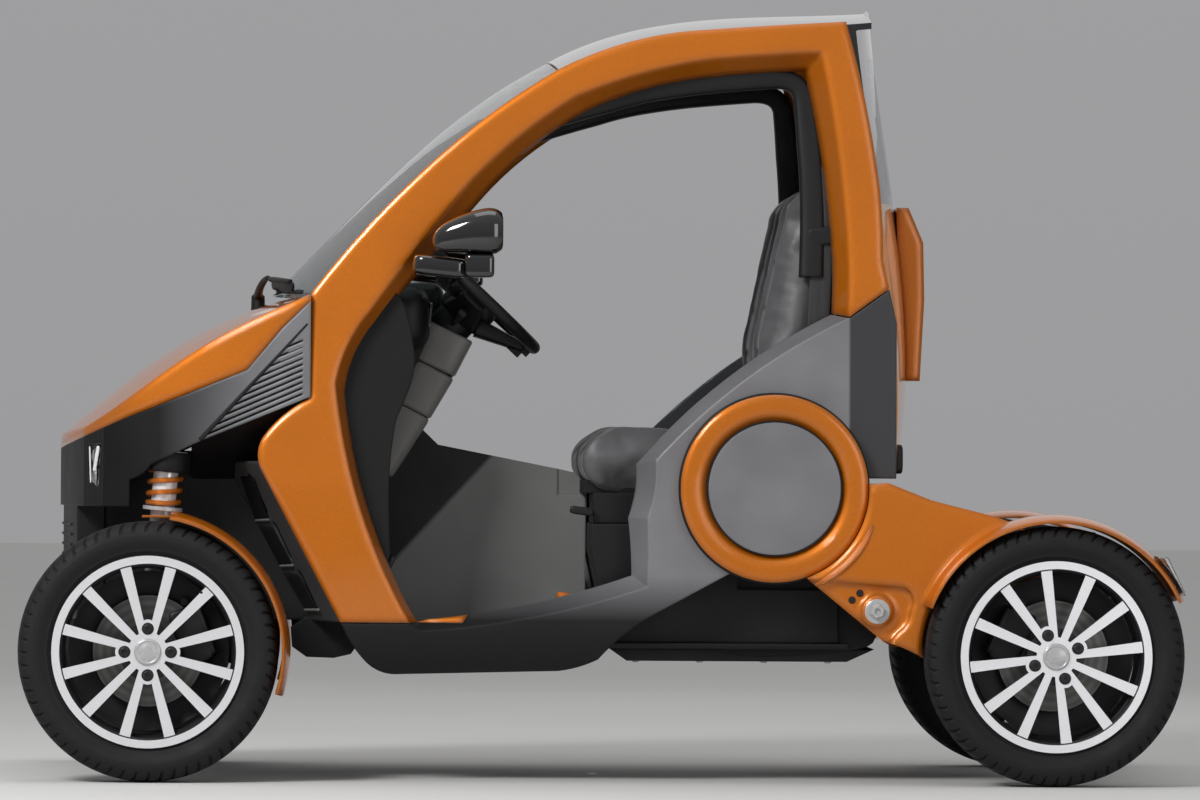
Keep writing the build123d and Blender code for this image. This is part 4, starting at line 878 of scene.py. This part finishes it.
class CAR_OT_cabin_fittings(bpy.types.Operator):
    """Steering wheel boss, stalks, cowl, instruments, centre stack, vents, pedals, mats and seat pans"""

    bl_idname = "car.cabin_fittings"
    bl_label = "Cabin fittings"

    def execute(self, context):
        joint = next(j for j in frame["joints"] if j["name"] == "steering_wheel_turn")
        hub = np.array(joint["pos_m"])
        axis = np.array(joint["axis"]) / np.linalg.norm(joint["axis"])
        tilt = turned(-COLUMN_LEAN, "Y")
        boss = pillow(hub - axis * 0.022, (0.062, 0.080, 0.020), 0.55, tilt)
        skirt = rounded([(-0.072, 0.030), (-0.072, 0.052), (-0.050, 0.060), (-0.012, 0.058),
                         (-0.012, 0.030)], 2)
        spokes = [lathe(skirt, hub, axis, 48)]
        across = np.cross((0, 1, 0), axis)
        for way in (-across, np.array([0, 1.0, 0]), np.array([0, -1.0, 0])):
            t = np.linspace(0, 1, 16)[:, None]
            path = hub + (0.045 + 0.104 * t) * way - (0.054 - 0.038 * t) * axis
            half = np.array([0.046, 0.022]) * (1 - t) + np.array([0.028, 0.011]) * t
            spokes.append(tube(path, half, axis, 24, True, 0.6))
        piece("steering_boss", joined([boss, *spokes]), "steering_wheel", "black_plastic")
        stalks = []
        for side in (1, -1):
            root = hub - axis * 0.085 + np.array([0, side * 0.045, 0])
            tip = root + np.array([0, side * 0.105, 0]) + axis * 0.030
            run = root + np.linspace(0, 1, 12)[:, None] * (tip - root)
            stalks.append(tube(run, np.linspace((0.006, 0.006), (0.010, 0.007), 12), axis, 14))
        piece("column_stalks", joined(stalks))
        hood = pillow((0.455, hub[1], 1.006), (0.084, 0.165, 0.070), 0.5)
        piece("instrument_hood", hood)
        screen = pillow((0.3715, hub[1], 1.012), (0.003, 0.100, 0.030), 0.2, turned(-4, "Y"))
        piece("instrument_glass", screen, slot="gloss_black")
        stack = pillow((0.402, -0.015, 1.020), (0.066, 0.075, 0.070), 0.4)
        piece("centre_stack", stack)
        vents = []
        ring = [(0, 0.034), (0.008, 0.037), (0.012, 0.034), (0.010, 0.029), (0, 0.029)]
        for y in (0.06, 0.42):
            vents.append(lathe(ring, (0.438, y, 0.985), (-0.94, 0, 0.33), 32))
            vents += [pillow((0.440, y, 0.985 + dz), (0.007, 0.030, 0.0018), 0.3, turned(20, "Y"))
                      for dz in (-0.016, 0, 0.016)]
        piece("dashboard_vents", both(joined(vents)), look="gloss_black")
        pedals = [pillow((0.475, hub[1] + dy, z), (0.007, w, h), 0.3, turned(-28, "Y"))
                  for dy, z, w, h in ((0.075, 0.435, 0.024, 0.060), (-0.045, 0.450, 0.040, 0.034))]
        for dy, z in ((0.075, 0.46), (-0.045, 0.46)):
            t = np.linspace(0, 1, 6)[:, None]
            run = np.array([0.478, hub[1] + dy, z]) + t * np.array([0.090, 0, 0.11])
            pedals.append(tube(run, (0.006, 0.008), (0, 1, 0), 10))
        piece("pedals", joined(pedals), slot="black_steel")
        self.cowl(hub[1])
        self.mats()
        lever = pillow((0.040, 0.430, 0.588), (0.026, 0.006, 0.009), 0.4, turned(-8, "Y"))
        piece("seat_levers", both(lever))
        # Seat pans in the near-black of painted shade
        pan = [(0.036, 0.626), (0.036, 0.655), (-0.300, 0.645), (-0.300, 0.616)]
        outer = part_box("seat_cushions")[1].y
        piece("seat_pans", both(slab(pan, outer - 0.36, outer - 0.05)), look="liner")
        tab = pillow((0.072, 0.395, 0.398), (0.022, 0.006, 0.011), 0.35, turned(-12, "Y"))
        piece("battery_latch", both(tab), slot="orange_paint")
        return {"FINISHED"}

    def cowl(self, y):
        """Column cowl in three lengths: a rounded oblong section along each, drawn in at its ends."""
        lengths = [((0.327, 0.980), (0.364, 0.901), 0.056, 0.053),
                   ((0.365, 0.898), (0.411, 0.808), 0.053, 0.047),
                   ((0.412, 0.806), (0.482, 0.672), 0.047, 0.034)]
        shapes = []
        for (x0, z0), (x1, z1), wide, narrow in lengths:
            t = np.concatenate([np.linspace(0, 0.1, 6), np.linspace(0.15, 0.85, 6), np.linspace(0.9, 1, 6)])
            path = np.stack([x0 + (x1 - x0) * t, np.full_like(t, y), z0 + (z1 - z0) * t], 1)
            ends = np.sqrt(1 - np.clip(1 - np.minimum(t, 1 - t) / 0.1, 0, 1) ** 4 * 0.12)
            half = np.stack([(wide + (narrow - wide) * t) * ends, 0.066 * ends], 1)
            shapes.append(tube(path, half, (0, 1, 0), 40, True, 0.5))
        piece("column_cowl", joined(shapes), slot="grey_moulding", look="column_moulding")
        t = np.linspace(0, 1, 20)[:, None]
        core = np.array([0.331, y, 0.970]) * (1 - t) + np.array([0.462, y, 0.712]) * t
        half = np.interp(t, [0, 0.26, 0.63, 1], [0.052, 0.0508, 0.0448, 0.034])
        shape = tube(core, np.hstack([half, half * 0 + 0.061]), (0, 1, 0), 32, True, 0.5)
        piece("column_core", shape)

    def mats(self):
        """Ribbed rubber mats: a sheet with a height of 2 mm ribs every 14 mm."""
        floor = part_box("battery_box")[0].z
        x = np.linspace(0.06, 0.49, 124)
        y = np.linspace(0.135, 0.470, 60)
        x, y = np.meshgrid(x, y, indexing="ij")
        edge = np.minimum.reduce([x - 0.06, 0.49 - x, y - 0.135, 0.470 - y])
        ribs = 0.0016 * (np.sin(x * 2 * np.pi / 0.014) > 0) * (edge > 0.02)
        z = floor + 0.0045 + ribs + 0.003 * (edge < 0.01)
        top = np.stack([x, y, z], -1).reshape(-1, 3)
        base = np.stack([x, y, np.full_like(x, floor + 0.0006)], -1).reshape(-1, 3)
        faces = grid_faces(*x.shape)
        shape = self.closed_sheet(top, base, faces, x.shape)
        piece("floor_mats", both(shape), look="tyre_rubber", sharp=20)

    def closed_sheet(self, top, base, faces, size):
        """Top and base grids joined round their edge."""
        index = np.arange(size[0] * size[1]).reshape(size)
        rim = np.concatenate([index[0, :-1], index[:-1, -1], index[-1, :0:-1], index[:0:-1, 0]])
        after = np.roll(rim, -1)
        wall = np.stack([rim, after, after + len(top), rim + len(top)], 1)
        return np.concatenate([top, base]), np.concatenate([faces, faces[:, ::-1] + len(top), wall])


class CAR_OT_outside_fittings(bpy.types.Operator):
    """Wiper, mirrors, nose and ring trim, closing panels, grille, slots, hoods, lamps, bolts and ribs"""

    bl_idname = "car.outside_fittings"
    bl_label = "Outside fittings"

    def execute(self, context):
        self.wiper()
        self.mirrors()
        self.nose()
        self.ring_trim()
        self.closing_panels()
        self.grille()
        self.well_slots()
        self.strut_hoods()
        self.lamps()
        self.bolts()
        latch = pillow((-0.647, 0.430, 0.705), (0.012, 0.022, 0.032), 0.4)
        piece("tail_latches", both(latch))
        self.arm_ridges()
        return {"FINISHED"}

    def mirrors(self):
        """Bullet-shaped housings of ovals from their front tip to the glass, on a neck and a foot."""
        rows = [(0.372, 0.640, 1.170, 0.004, 0.004), (0.366, 0.638, 1.170, 0.026, 0.022),
                (0.345, 0.635, 1.177, 0.041, 0.033), (0.300, 0.633, 1.187, 0.052, 0.044),
                (0.258, 0.632, 1.191, 0.057, 0.051), (0.236, 0.632, 1.191, 0.056, 0.050),
                (0.223, 0.632, 1.191, 0.049, 0.042), (0.2205, 0.632, 1.191, 0.045, 0.037)]
        bowl = [(0.2203, 0.632, 1.191, 0.042, 0.034), (0.226, 0.632, 1.191, 0.040, 0.032)]
        head = ovals(np.concatenate([rounded(rows, 2), bowl]), 48)
        neck = pillow((0.270, 0.628, 1.117), (0.032, 0.042, 0.026), 0.3)
        foot = pillow((0.354, 0.580, 1.115), (0.060, 0.066, 0.022), 0.35, turned(-6, "Y"))
        made = piece("mirror_housings", both(joined([head, neck, foot])), slot="gloss_black")
        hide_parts("door_mirrors")
        glass = pillow((0.2246, 0.632, 1.191), (0.0022, 0.0395, 0.0315), 0.5)
        piece("mirror_glass", both(glass), slot="gloss_black", look="mirror_glass")

    def grille(self):
        """Four slats across the bumper's face, bowed back with Y squared as it is."""
        y = np.linspace(-0.27, 0.27, 61)
        bow = 1.178 - 0.35 * y ** 2
        shapes = [tube(np.stack([bow, y, np.full_like(y, z)], 1), (0.003, 0.004), (1, 0, 0), 12)
                  for z in (0.485, 0.507, 0.529, 0.551)]
        piece("grille", joined(shapes))

    def well_slots(self):
        """Dark sheets on the slots of the wheel-well panels as painted shade, each with a pale lip below as a
        painted highlight, 2 mm over the panel's face.
        """
        corners = np.array([
            [(0.782, 0.3807, 0.658), (0.748, 0.3311, 0.562), (0.753, 0.4670, 0.658), (0.719, 0.4215, 0.565)],
            [(0.740, 0.3341, 0.549), (0.693, 0.3401, 0.463), (0.711, 0.4205, 0.549), (0.667, 0.4227, 0.466)],
            [(0.685, 0.3391, 0.448), (0.639, 0.3533, 0.368), (0.654, 0.4228, 0.448), (0.610, 0.4438, 0.370)],
        ]) + np.array([0.0019, 0.0006, 0])
        t = np.linspace(0, 1, 12)[:, None]
        slots = [sheet(a * (1 - t) + b * t, c * (1 - t) + d * t, 0.003) for a, b, c, d in corners]
        piece("well_slots", both(joined(slots)), look="liner")
        lips = [tube(b * (1 - t) + d * t, (0.0035, 0.0035), (0, 0, 1), 12) for a, b, c, d in corners]
        piece("well_slot_lips", both(joined(lips)), slot="grey_moulding", look="column_moulding")

    def strut_hoods(self):
        """Dark hoods round the tops of the springs, rings about the strut's leaning axis: painted shade over the
        springs' tops.
        """
        low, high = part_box("spring_left")
        middle = np.array((low + high) / 2)
        lean = math.radians(STRUT_LEAN)
        ring = rounded([(0.018, 0.0455), (0.018, 0.0495), (0.040, 0.0505), (0.062, 0.0505),
                        (0.062, 0.0455)], 1)
        hood = lathe(ring, middle, (-math.sin(lean), 0, math.cos(lean)), 48)
        piece("strut_hoods", both(hood), look="liner")

    def closing_panels(self):
        """Dark inner panels: below the nose, behind the door rings, at the tunnel's end and the belly; all but the
        tunnel's end in the near-black of painted shade.
        """
        x = np.linspace(0.640, 0.890, 30)
        outer = np.stack([x, nose_side(x) - 0.010, 0.838 - 0.412 * (x - 0.640)], 1)
        inner = np.stack([x, np.full_like(x, 0.322), np.full_like(x, 0.655)], 1)
        piece("nose_inner_panels", both(sheet(outer, inner, 0.004)), look="liner")
        kick = rounded([(0.455, 0.430), (0.580, 0.430), (0.620, 0.620), (0.605, 0.800), (0.570, 1.000),
                        (0.530, 1.070), (0.440, 1.070), (0.412, 0.970), (0.404, 0.891), (0.432, 0.815),
                        (0.448, 0.784), (0.460, 0.686), (0.462, 0.600)], 2, True)
        piece("kick_panels", both(slab(kick, 0.474, 0.494)), look="liner")
        end = rounded([(0.110, 0.684), (0.020, 0.664), (0.020, 0.560), (0.110, 0.560)], 1, True)
        piece("tunnel_end", slab(end, -0.118, 0.118), slot="grey_moulding", look="tunnel_moulding")
        apron = rounded([(0.674, 0.352), (0.540, 0.352), (0.520, 0.300), (0.548, 0.262),
                         (0.668, 0.266)], 1, True)
        piece("belly_aprons", both(slab(apron, 0.340, 0.356)), look="liner")
        tail = rounded([(-0.200, 0.455), (-0.480, 0.455), (-0.540, 0.395), (-0.618, 0.318), (-0.560, 0.280),
                        (-0.200, 0.268)], 2, True)
        piece("belly_tail", slab(tail, -0.430, 0.430), look="liner")

    def ring_trim(self):
        """Black lining inside each door ring, along its roof and rear pillar, and dark rings in the gaps round the
        hubs as painted shade.
        """
        line = rounded([(0.150, 1.418), (0.045, 1.458), (-0.060, 1.494), (-0.180, 1.515), (-0.300, 1.527),
                        (-0.430, 1.536), (-0.444, 1.440), (-0.455, 1.330), (-0.458, 1.220),
                        (-0.455, 1.100)], 3)
        path = np.stack([line[:, 0], 0.479 - 0.0537 * (line[:, 1] - 0.64), line[:, 1]], 1)
        t = np.linspace(0, 1, len(line))
        depth = np.interp(t, [0, 0.2, 0.6, 0.7, 1], [0.008, 0.022, 0.022, 0.027, 0.027])
        half = np.stack([depth, np.full(len(line), 0.022)], 1)
        lining = tube(path, half, (0, 1, 0), 20, True, 0.55)
        piece("ring_linings", both(lining))
        low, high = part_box("pivot_rings")
        middle = np.array([(low.x + high.x) / 2, 0, (low.z + high.z) / 2])
        reach = (high.x - low.x) / 2
        gap_shade_ring = [(0.553, reach - 0.002), (0.553, reach + 0.0035), (0.5625, reach + 0.0045),
                (0.565, reach + 0.002), (0.5655, reach - 0.002)]
        cover_low, cover_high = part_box("pivot_covers")
        edge = (cover_high.x - cover_low.x) / 2
        face = cover_high.y
        line = [(face - 0.003, edge - 0.0012), (face - 0.003, edge + 0.0016), (face + 0.0006, edge + 0.0016),
                (face + 0.0006, edge - 0.0012)]
        gap_shade_rings = [lathe(gap_shade_ring, middle, (0, 1, 0), 128), lathe(line, middle, (0, 1, 0), 128)]
        piece("hub_seals", both(joined(gap_shade_rings)))

    def nose(self):
        """Dark groove along the upper edge of each louvred field, on the nose's curved side."""
        t = np.linspace(0, 1, 40)[:, None]
        path = (1 - t) * [0.640, 0, 0.990] + t * [0.871, 0, 0.737]
        path[:, 1] = nose_side(path[:, 0])
        groove = tube(path, np.linspace((0.0022, 0.0012), (0.0052, 0.0014), 40), (0, 1, 0), 12)
        piece("louvre_grooves", both(groove))

    def wiper(self):
        """Parked wiper: a blade along the screen's foot, its arm, and the pivot cap in the cowl."""
        y = np.linspace(-0.30, 0.34, 41)
        foot = 0.721 - 0.088 * (y / 0.478) ** 2
        blade = np.stack([foot - 0.004, y, 1.083 - 0.020 * (y / 0.478) ** 2], 1)
        spine = blade + [0.006, 0, 0.012]
        shapes = [tube(blade, (0.004, 0.010), (0, 0, 1), 10), tube(spine, (0.006, 0.005), (0, 0, 1), 10)]
        pivot = np.array([0.752, -0.33, 1.048])
        arm = rounded([pivot + [0, 0, 0.012], pivot + [-0.002, 0.09, 0.026], (0.738, -0.1, 1.094),
                       (0.729, 0.02, 1.098)], 3)
        shapes.append(tube(arm, np.linspace((0.011, 0.007), (0.006, 0.005), len(arm)), (0, 0, 1), 12))
        cap = [(-0.02, 0.0002), (-0.02, 0.016), (0.014, 0.015), (0.019, 0.010), (0.019, 0.0002)]
        shapes.append(lathe(cap, pivot, (0, 0, 1), 24, False))
        piece("wiper", joined(shapes))

    def lamps(self):
        """Reflector bowls and light bars in the headlamps; reflectors and painted bases in the rear lamps."""
        bowl = [(0, 0.0002), (0, 0.008), (0.006, 0.015), (0.014, 0.019), (0.016, 0.019), (0.008, 0.017),
                (-0.004, 0.006), (-0.004, 0.0002)]
        bowls = [lathe(bowl, (1.078, 0.412, z), (0.8, 0.6, 0), 28, False) for z in (0.655, 0.700)]
        bowls.append(pillow((1.110, 0.440, 0.682), (0.0018, 0.004, 0.040), 0.4, turned(2, "Y")))
        bowls.append(pillow((1.097, 0.440, 0.695), (0.0038, 0.004, 0.028), 0.4, turned(-9, "Y")))
        piece("headlamp_bowls", both(joined(bowls)), slot="lamp_lens", look="reflector")
        back = [(-1.2115, 0.4955), (-1.2185, 0.4955), (-1.2545, 0.4195), (-1.2495, 0.4290), (-1.2380, 0.4490)]
        piece("rear_lamp_reflectors", both(slab(back, *REAR_LAMP)), slot="lamp_lens", look="reflector")
        base = [(-1.2020, 0.4945), (-1.2105, 0.4955), (-1.2370, 0.4485), (-1.2290, 0.4615), (-1.2185, 0.4765),
                (-1.2070, 0.4890)]
        piece("rear_lamp_bases", both(slab(base, *REAR_LAMP)), slot="orange_paint")

    def bolts(self):
        """Arm bolt in its washer, two screws beside it, and the screws of the belly pan."""
        face = 0.602
        washer = [(0, 0.010), (0, 0.027), (0.003, 0.027), (0.004, 0.025), (0.004, 0.010)]
        head = [(0, 0.0002), (0, 0.017), (0.009, 0.017), (0.012, 0.014), (0.012, 0.008), (0.007, 0.007),
                (0.007, 0.0002)]
        spot = np.array([-0.595, face, 0.376])
        shapes = [lathe(washer, spot, (0, 1, 0), 32), lathe(head, spot + [0, 0.004, 0], (0, 1, 0), 6, False)]
        piece("arm_bolts", both(joined(shapes)), slot="bare_steel", sharp=25)
        dome = [(-0.002, 0.0002), (-0.002, 0.008), (0.001, 0.008), (0.0035, 0.006), (0.004, 0.0035),
                (0.002, 0.003), (0.002, 0.0002)]
        spots = [(-0.558, 0.586, 0.415), (-0.541, 0.586, 0.400)]
        screws = [lathe(dome, spot, (0, 1, 0), 16, False) for spot in spots]
        piece("arm_screws", both(joined(screws)), slot="black_steel")
        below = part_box("belly_pan")[0].z
        spots = [(x, y, below) for x in (-0.50, -0.36, -0.22, -0.08) for y in (0.12, 0.39)]
        screws = [lathe(dome, spot, (0, 0, -1), 16, False) for spot in spots]
        piece("belly_screws", both(joined(screws)), slot="black_steel", look="bare_steel")

    def arm_ridges(self):
        """Raised rib on each rear arm, round the hub's ring."""
        turn = np.radians(np.linspace(200, 247, 50))
        x, z = -0.372 + 0.226 * np.cos(turn), 0.640 + 0.226 * np.sin(turn)
        path = np.stack([x, np.full_like(turn, 0.600), z], 1)
        swell = np.sin(np.linspace(0.12, np.pi - 0.12, len(turn)))[:, None] ** 0.5
        shape = tube(path, swell * [0.009, 0.006], (0, 1, 0), 14)
        piece("arm_ridges", both(shape), slot="orange_paint")


class CAR_OT_stage(bpy.types.Operator):
    """Camera, soft lamps, sky and pale floor"""

    bl_idname = "car.stage"
    bl_label = "Stage"

    def execute(self, context):
        scene = bpy.context.scene
        scene.view_settings.view_transform = "Standard"
        eye, aim = Vector((0.640, 20.17, 0.761)), Vector((0.010, 0.672, 0.829))
        camera = bpy.data.objects.new("photo_camera", bpy.data.cameras.new("photo_camera"))
        scene.collection.objects.link(camera)
        camera.data.lens = 272.0
        camera.data.sensor_width = 36.0
        camera.data.sensor_fit = "HORIZONTAL"
        camera.data.clip_end = 200.0
        roll = Matrix.Rotation(math.radians(0.37), 4, "Z")
        facing = (aim - eye).to_track_quat("-Z", "Y").to_matrix().to_4x4()
        camera.matrix_world = Matrix.Translation(eye) @ facing @ roll
        scene.camera = camera
        self.floor()
        self.sky(scene)
        lamps = (
            ("key_softbox", (3.6, 5.0, 4.6), 1.8, 375.0),
            ("fill_softbox", (-3.6, 6.5, 1.6), 3.0, 70.0),
            ("back_softbox", (-1.0, -5.0, 4.0), 5.0, 20.0),
            ("top_softbox", (0.0, 0.4, 5.5), 3.0, 42.0),
        )
        for name, spot, size, power in lamps:
            light = bpy.data.objects.new(name, bpy.data.lights.new(name, "AREA"))
            scene.collection.objects.link(light)
            light.data.size = size
            light.data.energy = power
            light.location = spot
            light.rotation_euler = (Vector((0, 0, 0.7)) - Vector(spot)).to_track_quat("-Z", "Y").to_euler()
        return {"FINISHED"}

    def floor(self):
        """Round pale floor: rings of points out to 40 m."""
        rings = np.array([0.01, 3, 8, 16, 40])
        turn = np.linspace(0, 2 * np.pi, 96, endpoint=False)
        r, t = np.meshgrid(rings, turn, indexing="ij")
        points = np.stack([r * np.cos(t), r * np.sin(t), np.full_like(r, -0.0005)], -1).reshape(-1, 3)
        mesh = bpy.data.meshes.new("studio_floor")
        mesh.from_pydata(points, [], grid_faces(len(rings), len(turn), False, True))
        made, tree, shader, place = finish("painted_studio_floor", linear("#C6C6C4"), 0.85)
        patch = add(tree, "TexNoise", {"Vector": place, "Scale": per_metre(900.0), "Detail": 3.0})
        ends = {"Factor": patch.outputs["Fac"], "A": linear("#C2C2C0"), "B": linear("#CACAC8")}
        tone = add(tree, "Mix", ends, data_type="RGBA")
        connect(tree, shader, {"Base Color": tone.outputs["Result"]})
        mesh.materials.append(made)
        floor = bpy.data.objects.new("studio_floor", mesh)
        bpy.context.scene.collection.objects.link(floor)

    def sky(self, scene):
        """Pale sky, brighter overhead than at the horizon."""
        world = bpy.data.worlds.new("studio_sky")
        scene.world = world
        world.use_nodes = True
        tree = world.node_tree
        way = add(tree, "TexCoord").outputs["Generated"]
        height = add(tree, "SeparateXYZ", {"Vector": way}).outputs["Z"]
        share = add(tree, "MapRange", {"Value": height, "From Min": -0.05, "From Max": 0.9})
        ends = {"Factor": share.outputs["Result"], "A": linear("#BCBCBE"), "B": linear("#EDEDEE")}
        tone = add(tree, "Mix", ends, data_type="RGBA")
        connect(tree, tree.nodes["Background"], {"Color": tone.outputs["Result"], "Strength": 0.64})


class CAR_PT_looks(bpy.types.Panel):
    """Sizes, colours and pieces of the car"""

    bl_idname = "CAR_PT_looks"
    bl_label = "Micro car"
    bl_space_type = "VIEW_3D"
    bl_region_type = "UI"
    bl_category = "Micro car"

    def draw(self, context):
        for group in (context.scene.car_colours, context.scene.car_sizes):
            box = self.layout.box()
            for key in group.__annotations__:
                box.prop(group, key)
        for operator in OPERATORS:
            self.layout.operator(operator.bl_idname)


OPERATORS = (
    CAR_OT_finishes,
    CAR_OT_tyres,
    CAR_OT_wheel_fittings,
    CAR_OT_springs,
    CAR_OT_seats,
    CAR_OT_belts,
    CAR_OT_cabin_fittings,
    CAR_OT_outside_fittings,
    CAR_OT_stage,
)
CLASSES = (CarColours, CarSizes, *OPERATORS, CAR_PT_looks)


def register():
    for kind in CLASSES:
        bpy.utils.register_class(kind)
    bpy.types.Scene.car_colours = PointerProperty(type=CarColours)
    bpy.types.Scene.car_sizes = PointerProperty(type=CarSizes)


def unregister():
    del bpy.types.Scene.car_colours
    del bpy.types.Scene.car_sizes
    for kind in reversed(CLASSES):
        bpy.utils.unregister_class(kind)


def main():
    register()
    bpy.ops.car.finishes()
    bpy.ops.car.tyres()
    bpy.ops.car.wheel_fittings()
    bpy.ops.car.springs()
    bpy.ops.car.seats()
    bpy.ops.car.belts()
    bpy.ops.car.cabin_fittings()
    bpy.ops.car.outside_fittings()
    bpy.ops.car.stage()


if __name__ == "__main__":
    main()
